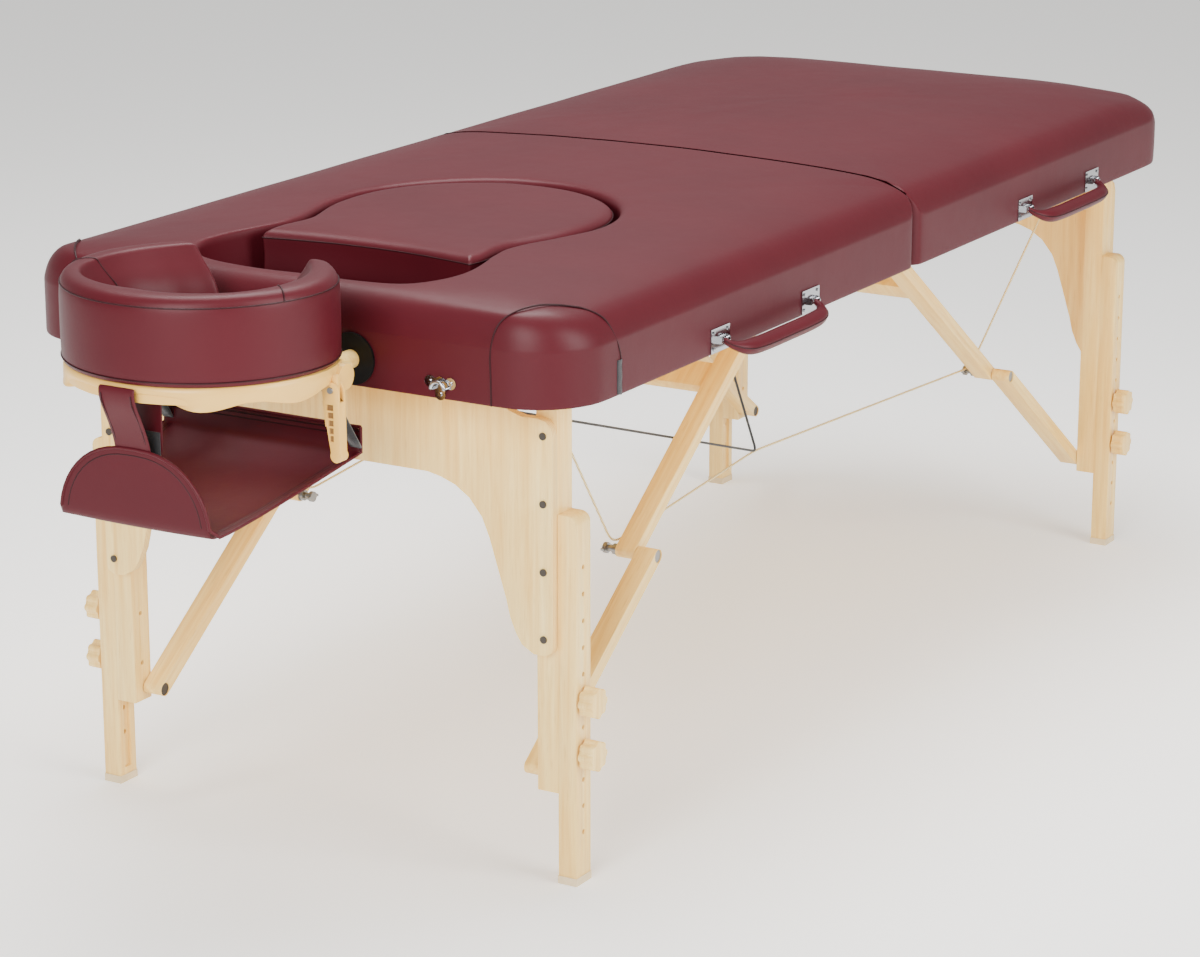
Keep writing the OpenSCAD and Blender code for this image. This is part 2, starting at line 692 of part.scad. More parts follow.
// Blocks, pins and anchors of one half, for legs at distance ls
module blocks(ls) {
  both_sides() {
    difference() {
      translate([0, 0, frame_z]) linear_extrude(rail_h) intersection() {
        translate([leg_x + block_gap, ls - block_half]) square([corner_r, 2 * block_half]);
        translate([0, joint_gap]) plan(skin + rail_t);
      }
      translate([0, ls, pivot_z]) rod_x(leg_x - over, rail_in - over, pivot_r);
    }
    difference() {
      translate([low_x, strut_s - strut_block_half, pivot_z - sink_r])
        cube([strut_block_w, 2 * strut_block_half, deck_z - pivot_z + sink_r]);
      translate([0, strut_s, strut_top_z]) rod_x(low_x - over, low_x + strut_block_w - over, pivot_r);
    }
  }
}
module pivot_pins(ls) {
  both_sides() {
    translate([0, ls, pivot_z]) {
      rod_x(post_x - block_gap, rail_in - over, pivot_r);
      rod_x(post_x - block_gap - washer_t, post_x - block_gap, bolt_head_r);
    }
    translate([0, strut_s, strut_top_z]) {
      rod_x(up_x - block_gap, low_x + strut_block_w - over, pivot_r);
      rod_x(up_x - block_gap - washer_t, up_x - block_gap, bolt_head_r);
    }
    difference() {
      union() {
        translate([anchor_x - anchor_t / 2, ls - anchor_w / 2, deck_z - anchor_drop])
          cube([anchor_t, anchor_w, anchor_drop]);
        translate([anchor_x - anchor_w / 2, ls - anchor_w / 2, deck_z - anchor_t])
          cube([anchor_w, anchor_w, anchor_t]);
      }
      translate([0, ls, deck_z - anchor_drop + anchor_eye_r])
        rod_x(anchor_x - anchor_w, anchor_x + anchor_w, cable_d / 2 + pin_gap);
    }
  }
}

// Legs at distance ls
module posts(ls) {
  both_sides() difference() {
    union() {
      translate([post_x, ls - post_d / 2, post_end]) cube([post_w, post_d, pivot_z - post_end]);
      translate([0, ls, pivot_z]) rod_x(post_x, leg_x, post_d / 2);
    }
    translate([0, ls, pivot_z]) rod_x(post_x - over, leg_x + over, pivot_r + pin_gap);
    for (z = [knob_lower_z, knob_upper_z])
      translate([0, ls, z]) rod_x(post_x - over, leg_x + over, bolt_r + pin_gap);
    translate([0, ls - strut_in, strut_z]) rod_x(post_x - over, leg_x + over, pivot_r);
    for (k = panel_screw_shares)
      translate([leg_x * panel_screw_x_share, 0, panel_z + panel_h * k])
        rod_y(ls, ls + post_d, screw_r);
  }
}
module panel(ls) {
  side = [for (p = panel_shares) [p[0] * leg_x, panel_z + p[1] * panel_h]];
  difference() {
    translate([0, ls + post_d / 2 + panel_t, 0]) rotate([90, 0, 0]) linear_extrude(panel_t)
      polygon(concat(side, reversed([for (p = side) [-p[0], p[1]]])));
    both_sides() for (k = panel_screw_shares)
      translate([leg_x * panel_screw_x_share, 0, panel_z + panel_h * k])
        rod_y(ls, ls + post_d + panel_t, screw_r);
  }
}
module leg_bolts(ls) {
  both_sides() {
    for (k = panel_screw_shares) translate([leg_x * panel_screw_x_share, 0, panel_z + panel_h * k]) {
      rod_y(ls + post_d / 2 + panel_t - screw_l, ls + post_d / 2 + panel_t, screw_r);
      rod_y(ls + post_d / 2 + panel_t, ls + post_d / 2 + panel_t + screw_head_t, screw_head_r);
    }
    translate([0, ls - strut_in, strut_z]) {
      rod_x(low_x + head_sink, leg_x - over, pivot_r);
      rod_x(low_x + head_sink - bolt_head_t, low_x + head_sink, bolt_head_r);
    }
  }
}
module extension(ls) {
  r = ext_w * 0.48;
  difference() {
    union() {
      translate([ext_x, ls - post_d / 2, cap_floor]) cube([ext_w, post_d, ext_top - r - cap_floor]);
      translate([ext_x, ls - post_d / 2, ext_top - r - over]) cube([ext_w - r, post_d, r + over]);
      translate([ext_out - r, 0, ext_top - r]) rod_y(ls - post_d / 2, ls + post_d / 2, r);
    }
    for (i = [0 : hole_count - 1]) translate([0, ls, hole_first + i * hole_pitch])
      rod_x(ext_x - over, ext_out + over, hole_d / 2);
    translate([ext_x - over, ls - groove_w / 2, cap_floor + groove_w])
      cube([groove_depth + over, groove_w, ext_top - cap_floor - 2 * groove_w]);
  }
}
module cap(ls) {
  difference() {
    translate([ext_x - cap_wall, ls - post_d / 2 - cap_wall, 0])
      cube([ext_w + 2 * cap_wall, post_d + 2 * cap_wall, cap_h]);
    translate([ext_x, ls - post_d / 2, cap_floor]) cube([ext_w, post_d, cap_h]);
  }
}
module knob(ls, z) {
  translate([0, ls, z]) {
    rod_x(ext_x + groove_depth / 2, ext_out + hub_t + over, hole_d / 2 - pin_gap);
    rod_x(ext_out + slide_gap, ext_out + slide_gap + hub_t, hub_r);
    translate([ext_out + slide_gap + hub_t, 0, 0]) rotate([0, 90, 0]) linear_extrude(knob_t) {
      circle(r = knob_d / 2 - lobe_r / 2, $fn = 96);
      for (k = [0 : knob_lobes - 1]) rotate(k * 360 / knob_lobes)
        translate([knob_d / 2 - lobe_r, 0]) circle(r = lobe_r, $fn = 48);
    }
  }
}

// Folding struts for legs at distance ls
module strut(l, x) {
  difference() {
    union() {
      translate([x, 0, -strut_d / 2]) cube([strut_w, l, strut_d]);
      for (y = [0, l]) translate([0, y, 0]) rod_x(x, x + strut_w, strut_d / 2);
    }
    for (y = [0, l]) translate([0, y, 0]) rod_x(x - over, x + strut_w + over, pivot_r + pin_gap);
  }
}
module at_upper(ls) { translate([0, strut_s, strut_top_z]) rotate([-strut_angle(ls), 0, 0]) children(); }
module at_lower(ls) {
  translate([0, ls - strut_in, strut_z]) rotate([180 - strut_angle(ls), 0, 0]) children();
}
module upper_struts(ls) {
  at_upper(ls) {
    both_sides() strut(strut_upper(ls), up_x);
    translate([-up_x, crossbar_at - crossbar_w / 2, -crossbar_t / 2])
      cube([2 * up_x, crossbar_w, crossbar_t]);
  }
}
module knee_forks(ls) {
  both_sides() translate([0, knee_s(ls), knee_z(ls)]) {
    rod_x(up_x - stud_out, up_x + strut_w, pivot_r);
    rod_x(up_x - washer_t, up_x, washer_r);
    rod_x(up_x - washer_t - nut_t, up_x - washer_t, nut_r);
    rod_x(up_x - stud_out, up_x - stud_out + nut_t, nut_r);
    translate([up_x - stud_out, -wing_r, -wing_t / 2]) cube([nut_t, 2 * wing_r, wing_t]);
  }
}
module lower_struts(ls) {
  at_lower(ls) both_sides() difference() {
    strut(strut_lower(ls), low_x);
    rod_x(low_x - over, low_x + head_sink, sink_r - over / 2);
    translate([0, strut_lower(ls), 0]) rod_x(low_x + strut_w - head_sink, low_x + strut_w + over,
      sink_r - over / 2);
  }
}
module knee_bolts(ls) {
  both_sides() translate([0, knee_s(ls), knee_z(ls)]) {
    rod_x(low_x, low_x + strut_w - head_sink, pivot_r);
    rod_x(low_x + strut_w - head_sink, low_x + strut_w - head_sink + bolt_head_t, bolt_head_r);
  }
}

// Cables and cords, right side, with the head half along -Y
module cable_run() {
  r = cable_d / 2;
  a = [anchor_x - anchor_t / 2 - r, -head_s, deck_z - anchor_drop + anchor_eye_r];
  b = [cable_x, -knee_s(head_s), knee_z(head_s) + cable_lift + pin_gap];
  c = [cable_x, -ring_s, ring_z];
  d = [cable_x, knee_s(foot_s), knee_z(foot_s) + cable_lift + pin_gap];
  e = [anchor_x - anchor_t / 2 - r, foot_s, deck_z - anchor_drop + anchor_eye_r];
  both_sides() cord([a, b, c, d, e], r);
}
module elastic_run() {
  r = elastic_d / 2;
  ring = [cable_x + cable_d / 2 + r + soft_gap, -ring_s, ring_z];
  low = [elastic_panel_x, -head_s - post_d / 2 + r + soft_gap, elastic_panel_z];
  top = [ring[0], -elastic_top_s, deck_z - r - soft_gap];
  both_sides() cord([low, ring, top], r);
}

// Face cradle, with s along +Y from the centre joint
function cushion_at(shares, a, d) =
  let (r = cushion_r * lookup(a, shares) + d) [r * cos(a), cradle_s - r * sin(a)];
outer_sweep = cushion_outer_shares[len(cushion_outer_shares) - 1][0] + 90;
inner_sweep = cushion_inner_shares[len(cushion_inner_shares) - 1][0] + 90;
// Outer and inner places of the cushion's outline at t, from -1 to 1, set in by d
function cushion_pair(t, d) =
  let (m = t < 0 ? -1 : 1, o = cushion_at(cushion_outer_shares, -90 + outer_sweep * abs(t), -d),
    i = cushion_at(cushion_inner_shares, -90 + inner_sweep * abs(t), d))
  [[m * o[0], o[1]], [m * i[0], i[1]]];
// Section of the face cushion, as [share across, share of its side, share of its crown]
cushion_section_shares = [[0.03, 0, 0], [0, 0.5, 0], [0.03, 1, 0], [0.17, 1, 0.62], [0.42, 1, 1],
  [0.7, 1, 0.75], [0.93, 1, 0.1], [1, 0.62, 0], [0.95, 0, 0]];
module face_cushion_body() {
  z0 = platform_top + soft_gap;
  n = 24;
  ts = concat([-1.02], [for (i = [-n / 2 : n / 2]) i / (n / 2)], [1.02]);
  rings = [for (t = ts)
    let (tip = abs(t) > 1, u = max(min(t, 1), -1), p = cushion_pair(u, tip ? cushion_r / 15 : 0),
      low = tip ? 0.12 : 0, shift = tip ? [0, -cushion_r / 25] : [0, 0])
    [for (c = cushion_section_shares)
      let (q = lerp(p[0], p[1], c[0]) + shift)
      [q[0], q[1], z0 + cushion_h * lerp(c[1], 0.5, low) + cushion_crown * c[2] * (1 - 2 * low)]]];
  first = rings[0];
  last = rings[len(rings) - 1];
  mean = function (v) [for (k = [0 : 2]) lerp(v[1][k], v[6][k], 0.5)];
  lens(rings, mean(first), mean(last));
}
module platform_plan(d, t_end) {
  n = 24;
  pairs = [for (i = [-n / 2 : n / 2]) cushion_pair(t_end * i / (n / 2), d)];
  polygon(concat([for (p = pairs) p[0]], reversed([for (p = pairs) p[1]])));
}
module platform() {
  reach_share = 0.86;
  translate([0, 0, platform_z]) linear_extrude(platform_t) platform_plan(platform_inset, reach_share);
  translate([0, 0, platform_z - rim_drop]) linear_extrude(rim_drop + over) intersection() {
    difference() {
      platform_plan(platform_inset, reach_share);
      platform_plan(platform_inset + rim_t, 1);
    }
    translate([-cushion_r, cradle_s + cushion_r / 10]) square([2 * cushion_r, cushion_r]);
  }
  both_sides() translate([0, tilt_s, tilt_z]) {
    rod_x(frame_lug_x + lug_w + lug_gap, frame_lug_x + 2 * lug_w + lug_gap, hub_lug_r);
    rod_x(frame_lug_x - lug_gap, frame_lug_x + lug_w + lug_gap + over, tilt_pin_r);
  }
  translate([lever_x, tilt_s + lever_out, lever_z]) {
    rod_y(-tab_half, tab_half, tab_r);
    translate([-tab_r, -tab_half, 0]) cube([2 * tab_r, 2 * tab_half, lever_pivot_drop + over]);
    rod_y(-lever_t / 2 - over, lever_t / 2 + over, lever_pin_r);
  }
}
module cradle_body() {
  difference() {
    union() {
      both_sides() translate([dowel_x, 0, dowel_z])
        rod_y(half_l - dowel_in, half_l + cross_out + cross_d / 2, dowel_d / 2);
      translate([-cross_x, half_l + cross_out, dowel_z - dowel_d / 2])
        cube([2 * cross_x, cross_d, dowel_d]);
      both_sides() {
        translate([frame_lug_x, half_l + cross_out + cross_d - over, tilt_z - frame_lug_r])
          cube([lug_w, tilt_out - cross_out - cross_d + over, 2 * frame_lug_r]);
        translate([0, tilt_s, tilt_z]) rod_x(frame_lug_x, frame_lug_x + lug_w, frame_lug_r);
      }
    }
    both_sides() translate([0, tilt_s, tilt_z])
      rod_x(frame_lug_x - over, frame_lug_x + lug_w + over, tilt_pin_r + pin_gap);
  }
}
module lever() {
  translate([lever_x, tilt_s + lever_out, lever_z]) difference() {
    union() {
      for (m = [-1, 1]) translate([0, m * (tab_half + cheek_gap + cheek_t / 2) - cheek_t / 2, 0]) {
        rod_y(0, cheek_t, cheek_r);
        translate([0, cheek_t, 0]) rotate([90, 0, 0]) linear_extrude(cheek_t)
          polygon([[-cheek_r, 0], [cheek_r, 0], [lever_tip_r * 1.5, -lever_l / 2],
            [-lever_tip_r, -lever_l / 2]]);
      }
      translate([0, lever_t / 2, 0]) rotate([90, 0, 0]) linear_extrude(lever_t) {
        polygon([[-cheek_r, -cheek_r - over], [cheek_r, -cheek_r - over],
          [lever_tip_r * 1.6, -lever_l + lever_tip_r], [0, -lever_l + lever_tip_r]]);
        translate([lever_tip_r * 0.8, -lever_l + lever_tip_r]) circle(r = lever_tip_r, $fn = 48);
      }
    }
    rod_y(-lever_t, lever_t, lever_pin_r + pin_gap);
    for (k = [0 : pocket_count - 1]) translate([k * pocket_step - pocket_w * 0.6, lever_t / 2 - pocket_d,
      -cheek_r - 2 * over - (k + 1) * (pocket_h + 2 * over)])
      cube([pocket_w - k * pocket_step, lever_t, pocket_h]);
  }
}

// Arm sling
sling_row_shares = [0, 0.14, 0.3, 0.48, 0.66, 0.84, 1];
panel_row_shares = [[1, 0.2], [0.85, 0.52], [0.62, 0.78], [0.32, 0.95]];
module sling_sheet() {
  t = sling_t;
  // Each row: [out from the head face, height, half width, sag, offset out, offset up]
  rows = concat(
    [for (p = panel_row_shares) [sling_front_out, sling_z + sling_panel_h * p[0],
      sling_front_x * p[1], 0, -t, 0]],
    [for (k = sling_row_shares) [lerp(sling_front_out, sling_rear_out, k), sling_z + sling_rise * k,
      lerp(sling_front_x, sling_rear_x, pow(k, 0.6)), sling_sag * (k == 0 || k == 1 ? 0 : 1),
      k == 0 ? -t : k == 1 ? t : 0, t]],
    [[sling_rear_out, sling_z + sling_rise + band_h / 2, sling_rear_x, 0, t, 0],
      [sling_rear_out, sling_z + sling_rise + band_h, sling_rear_x, 0, t, 0]]);
  cols = [for (i = [0 : 8]) i / 4 - 1];
  n = len(cols);
  m = len(rows);
  outer = [for (r = rows) [for (u = cols) [r[2] * u, half_l + r[0], r[1] - r[3] * (1 - u * u)]]];
  inner = [for (r = rows) [for (u = cols)
    [(r[2] - t * 0.2) * u, half_l + r[0] + r[4], r[1] + r[5] - r[3] * (1 - u * u)]]];
  rings = [for (j = [0 : m - 1]) concat(outer[j], reversed(inner[j]))];
  w = 2 * n;
  polyhedron(joined(rings), concat(ring_faces(m, w, false),
    [for (i = [0 : n - 2]) each [[i, i + 1, w - 1 - i], [i + 1, w - 2 - i, w - 1 - i]]],
    [for (i = [0 : n - 2]) let (o = (m - 1) * w)
      each [[o + i, o + w - 1 - i, o + i + 1], [o + i + 1, o + w - 1 - i, o + w - 2 - i]]]));
}
module sling_straps() {
  top = platform_z - rim_drop - soft_gap;
  low = sling_z + sling_panel_h * 0.9;
  s = half_l + sling_front_out - sling_t - soft_gap - strap_gap;
  difference() {
    translate([-strap_w / 2, s, low]) cube([strap_w, strap_gap, top - low]);
    translate([-strap_w, s + sling_t, low + sling_t])
      cube([2 * strap_w, strap_gap - 2 * sling_t, top - low - 2 * sling_t]);
  }
  z0 = sling_z + sling_rise + band_h + soft_gap;
  z1 = platform_z - soft_gap;
  s0 = half_l + sling_rear_out;
  s1 = half_l + rear_strap_out;
  both_sides() translate([cross_x - rear_strap_w, 0, 0]) rotate([90, 0, 90]) linear_extrude(rear_strap_w)
    polygon([[s0, z0], [s0 + sling_t, z0], [s1 + sling_t, z1], [s1, z1]]);
}

// Sub-parts
module head_frame() { color(birch) head_half() difference() { frame_half(); socket_holes(sleeve_r); } }
module head_deck() { color(birch) head_half() deck_half(); }
module head_foam() { color(foam_grey) head_half() foam_well(); }
module head_cover() {
  color(burgundy) head_half() difference() { cover_well(); socket_holes(sleeve_r + soft_gap); }
}
module insert_cushion() { color(burgundy) head_half() insert_body(); }
module dowel_sockets() { color(black) head_half() sockets(); }
module latch_keepers() { color(chrome) head_half() both_sides() keeper(); }
module handle_plates_head() { color(chrome) head_half() handle_plates(head_handle_s); }
module blocks_head() { color(birch) head_half() blocks(head_s); }
module pivot_pins_head() { color(steel) head_half() pivot_pins(head_s); }
module hinge_leaves_head() { color(steel) head_half() leaf(false); }
module foot_frame() { color(birch) frame_half(); }
module foot_deck() { color(birch) deck_half(); }
module foot_foam() { color(foam_grey) foam_plain(); }
module foot_cover() { color(burgundy) cover_plain(); }
module latch_plates() { color(chrome) both_sides() latch_plate(); }
module latch_hooks() { color(chrome) both_sides() latch_hook(); }
module handle_plates_foot() { color(chrome) handle_plates(foot_handle_s); }
module blocks_foot() { color(birch) blocks(foot_s); }
module pivot_pins_foot() { color(steel) pivot_pins(foot_s); }
module hinge_leaves_foot() { color(steel) leaf(true); }
module head_posts() { color(birch) head_half() posts(head_s); }
module head_panel() { color(birch) head_half() panel(head_s); }
module head_leg_bolts() { color(steel) head_half() leg_bolts(head_s); }
module foot_posts() { color(birch) posts(foot_s); }
module foot_panel() { color(birch) panel(foot_s); }
module foot_leg_bolts() { color(steel) leg_bolts(foot_s); }
module ext_head_right() { color(birch) head_half() extension(head_s); }
module ext_head_left() { color(birch) head_half() mirror([1, 0, 0]) extension(head_s); }
module ext_foot_right() { color(birch) extension(foot_s); }
module ext_foot_left() { color(birch) mirror([1, 0, 0]) extension(foot_s); }
module cap_head_right() { color(cream) head_half() cap(head_s); }
module cap_head_left() { color(cream) head_half() mirror([1, 0, 0]) cap(head_s); }
module cap_foot_right() { color(cream) cap(foot_s); }
module cap_foot_left() { color(cream) mirror([1, 0, 0]) cap(foot_s); }
module knob_head_right_upper() { color(birch) head_half() knob(head_s, knob_upper_z); }
module knob_head_right_lower() { color(birch) head_half() knob(head_s, knob_lower_z); }
module knob_head_left_upper() { color(birch) head_half() mirror([1, 0, 0]) knob(head_s, knob_upper_z); }
module knob_head_left_lower() { color(birch) head_half() mirror([1, 0, 0]) knob(head_s, knob_lower_z); }
module knob_foot_right_upper() { color(birch) knob(foot_s, knob_upper_z); }
module knob_foot_right_lower() { color(birch) knob(foot_s, knob_lower_z); }
module knob_foot_left_upper() { color(birch) mirror([1, 0, 0]) knob(foot_s, knob_upper_z); }
module knob_foot_left_lower() { color(birch) mirror([1, 0, 0]) knob(foot_s, knob_lower_z); }
module head_upper_struts() { color(birch) head_half() upper_struts(head_s); }
module head_knee_forks() { color(steel) head_half() knee_forks(head_s); }
module head_lower_struts() { color(birch) head_half() lower_struts(head_s); }
module head_knee_bolts() { color(steel) head_half() knee_bolts(head_s); }
module foot_upper_struts() { color(birch) upper_struts(foot_s); }
module foot_knee_forks() { color(steel) knee_forks(foot_s); }
module foot_lower_struts() { color(birch) lower_struts(foot_s); }
module foot_knee_bolts() { color(steel) knee_bolts(foot_s); }
module handle_head() { color(burgundy) head_half() handle(head_handle_s); }
module handle_foot() { color(burgundy) handle(foot_handle_s); }
module stay_cables() { color(chrome) cable_run(); }
module elastic_cords() { color(black) elastic_run(); }
module cradle_frame() { color(birch) head_half() cradle_body(); }
module cradle_platform() { color(cream) head_half() platform(); }
module cam_lever() { color(cream) head_half() lever(); }
module face_cushion() { color(burgundy) head_half() face_cushion_body(); }
module arm_sling() { color(burgundy) head_half() { sling_sheet(); sling_straps(); } }

placed() head_frame();
placed() head_deck();
placed() head_foam();
placed() head_cover();
placed() insert_cushion();
placed() dowel_sockets();
placed() latch_keepers();
placed() handle_plates_head();
placed() blocks_head();
placed() pivot_pins_head();
placed() hinge_leaves_head();
placed() foot_frame();
placed() foot_deck();
placed() foot_foam();
placed() foot_cover();
placed() latch_plates();
placed() latch_hooks();
placed() handle_plates_foot();
placed() blocks_foot();
placed() pivot_pins_foot();
placed() hinge_leaves_foot();
placed() head_posts();
placed() head_panel();
placed() head_leg_bolts();
placed() foot_posts();
placed() foot_panel();
placed() foot_leg_bolts();
placed() ext_head_right();
placed() ext_head_left();
placed() ext_foot_right();
placed() ext_foot_left();
placed() cap_head_right();
placed() cap_head_left();
placed() cap_foot_right();
placed() cap_foot_left();
placed() knob_head_right_upper();
placed() knob_head_right_lower();
placed() knob_head_left_upper();
placed() knob_head_left_lower();
placed() knob_foot_right_upper();
placed() knob_foot_right_lower();
placed() knob_foot_left_upper();
placed() knob_foot_left_lower();
placed() head_upper_struts();
placed() head_knee_forks();
placed() head_lower_struts();
placed() head_knee_bolts();
placed() foot_upper_struts();
placed() foot_knee_forks();
placed() foot_lower_struts();
placed() foot_knee_bolts();
placed() handle_head();
placed() handle_foot();
placed() stay_cables();
placed() elastic_cords();
placed() cradle_frame();
placed() cradle_platform();
placed() cam_lever();
placed() face_cushion();
placed() arm_sling();
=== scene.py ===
import math

import bmesh
import bpy
from mathutils import Matrix, Vector, noise


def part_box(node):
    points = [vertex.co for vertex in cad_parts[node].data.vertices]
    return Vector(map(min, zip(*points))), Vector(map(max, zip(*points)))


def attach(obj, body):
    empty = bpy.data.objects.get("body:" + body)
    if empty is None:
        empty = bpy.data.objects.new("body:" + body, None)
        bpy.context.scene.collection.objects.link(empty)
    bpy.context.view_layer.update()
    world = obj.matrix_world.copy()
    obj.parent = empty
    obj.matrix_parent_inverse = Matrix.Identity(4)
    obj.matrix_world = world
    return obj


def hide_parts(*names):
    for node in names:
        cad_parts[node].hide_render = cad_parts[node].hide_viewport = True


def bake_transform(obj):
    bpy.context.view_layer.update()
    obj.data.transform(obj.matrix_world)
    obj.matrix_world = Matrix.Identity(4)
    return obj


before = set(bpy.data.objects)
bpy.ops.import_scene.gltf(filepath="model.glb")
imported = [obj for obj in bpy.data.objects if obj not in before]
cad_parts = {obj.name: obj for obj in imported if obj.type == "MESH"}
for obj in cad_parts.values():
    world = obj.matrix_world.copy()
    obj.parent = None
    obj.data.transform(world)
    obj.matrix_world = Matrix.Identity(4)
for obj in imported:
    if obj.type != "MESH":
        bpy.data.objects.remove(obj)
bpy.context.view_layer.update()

# The camera stands off the head end's right corner with a long lens, as a catalogue photographer's does,
# and looks down at the table about sixteen degrees.
LOOK_DOWN, LOOK_ROUND = 15.997, 30.491
camera = bpy.data.objects.new("camera", bpy.data.cameras.new("camera"))
bpy.context.scene.collection.objects.link(camera)
bpy.context.scene.camera = camera
camera.data.sensor_width = 36
camera.data.lens = 108.3
camera.location = (2.3872, -4.1010, 1.6538)
camera.rotation_euler = (math.radians(90 - LOOK_DOWN), 0, math.radians(LOOK_ROUND))

# The stay cables are thin coated steel wire, one down each side. Each is held by an anchor under the deck at both
# pairs of legs, runs over the wing bolts of the two knees and is pulled up at the middle by an elastic cord.
MM = 0.001
head_rails, foot_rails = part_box("head_frame"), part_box("foot_frame")
MIDDLE_X = (head_rails[0][0] + head_rails[1][0]) / 2
JOINT_Y = (head_rails[1][1] + foot_rails[0][1]) / 2
HEAD, FOOT = -1, 1
SIDES = ((1, "right"), (-1, "left"))


def at(x, s, z, end=HEAD):
    """A place x mm right of the middle, s mm from the centre joint towards an end, and z mm above the floor."""
    return Vector((MIDDLE_X + x * MM, JOINT_Y + end * s * MM, z * MM))


def linear(code):
    """An sRGB hex colour as the linear colour that the shaders take."""
    values = [int(code[k:k + 2], 16) / 255 for k in (1, 3, 5)]
    return [*((v / 12.92 if v <= 0.04045 else ((v + 0.055) / 1.055) ** 2.4) for v in values), 1]


def add(tree, kind, settings={}, links={}):
    """A new node, with its sockets or properties set and its inputs linked."""
    node = tree.nodes.new("ShaderNode" + kind)
    for key, value in settings.items():
        if isinstance(key, int) or key in node.inputs:
            node.inputs[key].default_value = value
        else:
            setattr(node, key, value)
    for key, socket in links.items():
        tree.links.new(socket, node.inputs[key])
    return node


def finish_of(name, settings):
    """A material with its shader's sockets set: the material, its node tree and its shader."""
    material = bpy.data.materials.new(name)
    material.use_nodes = True
    shader = material.node_tree.nodes["Principled BSDF"]
    for key, value in settings.items():
        shader.inputs[key].default_value = value
    return material, material.node_tree, shader


def textured(name, settings):
    """A material as above, and the coordinates on the piece that its textures are laid by."""
    material, tree, shader = finish_of(name, settings)
    return material, tree, shader, add(tree, "TexCoord").outputs["Object"]


def two_tones(tree, value, dark, light, low=0, high=1):
    """A colour that goes from one tone to another as a texture's value rises."""
    tone = add(tree, "ValToRGB", {}, {0: value})
    for stop, position, code in zip(tone.color_ramp.elements, (low, high), (dark, light)):
        stop.position = position
        stop.color = linear(code)
    return tone.outputs[0]


def tint(tree, shader, value, dark, light):
    """Colours a surface between two tones by a texture's value."""
    tree.links.new(two_tones(tree, value, dark, light), shader.inputs["Base Color"])


def dent(tree, shader, value, strength, depth):
    """Roughens a surface by a texture's value, as a bump of the given depth in mm."""
    bump = add(tree, "Bump", {"Strength": strength, "Distance": depth * MM}, {"Height": value})
    tree.links.new(bump.outputs[0], shader.inputs["Normal"])


def gloss(tree, shader, value, low, high):
    """Lets a surface's roughness vary between two bounds by a texture's value."""
    spread = add(tree, "MapRange", {"To Min": low, "To Max": high}, {"Value": value})
    tree.links.new(spread.outputs[0], shader.inputs["Roughness"])


def rounded(points, radius):
    """The points of a line whose corners are rounded, each with a short curve of seven points."""
    route = [points[0]]
    for before, corner, after in zip(points, points[1:], points[2:]):
        start = corner + (before - corner).normalized() * (radius * MM)
        end = corner + (after - corner).normalized() * (radius * MM)
        for k in range(7):
            t = k / 6
            route.append(start * (1 - t) ** 2 + corner * 2 * t * (1 - t) + end * t * t)
    return route + [points[-1]]


def strands(name, routes, radius, material, body, closed=False, sides=2):
    """Round strands of a radius in mm along routes of points: a curve that rides on a body, or a mesh where it
    rides on none."""
    curve = bpy.data.curves.new(name, "CURVE")
    curve.dimensions = "3D"
    curve.bevel_depth = radius * MM
    curve.bevel_resolution = sides
    curve.use_fill_caps = True
    for route in routes:
        spline = curve.splines.new("POLY")
        spline.points.add(len(route) - 1)
        for point, place in zip(spline.points, route):
            point.co = (*place, 1)
        spline.use_cyclic_u = closed
    piece = bpy.data.objects.new(name, curve)
    bpy.context.scene.collection.objects.link(piece)
    piece.data.materials.append(material)
    if body:
        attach(piece, body)
        return piece
    bpy.context.view_layer.update()
    mesh = bpy.data.meshes.new_from_object(piece)
    bpy.data.objects.remove(piece)
    piece = bpy.data.objects.new(name, mesh)
    bpy.context.scene.collection.objects.link(piece)
    return piece


def knee_at(end_name):
    """Where the bolt of an end's knee runs: its distance along the table and its height, in metres."""
    low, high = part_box(end_name + "_knee_bolts")
    return (low[1] + high[1]) / 2, (low[2] + high[2]) / 2


# Galvanised wire rope under a clear coat: the lay of its strands shows as fine slanting stripes.
wire, tree, shader, place = textured("galvanised_wire", {"Metallic": 0.35, "Roughness": 0.42})
lay = add(tree, "TexWave", {"Scale": 160, "Distortion": 0, "bands_direction": "DIAGONAL"}, {"Vector": place})
tint(tree, shader, lay.outputs["Fac"], "#b79f66", "#f7e6b4")
dent(tree, shader, lay.outputs["Fac"], 0.5, 0.3)

CABLE_X, CABLE_R, CABLE_BEND = 232, 1.5, 24
# The wire runs over the middle of a knee's bolt by this height.
CABLE_LIFT = 6.05
ANCHOR_X, ANCHOR_Z = 277, 643
HEAD_LEGS, FOOT_LEGS = 796, 813
RING_S, RING_Z = 148, 363
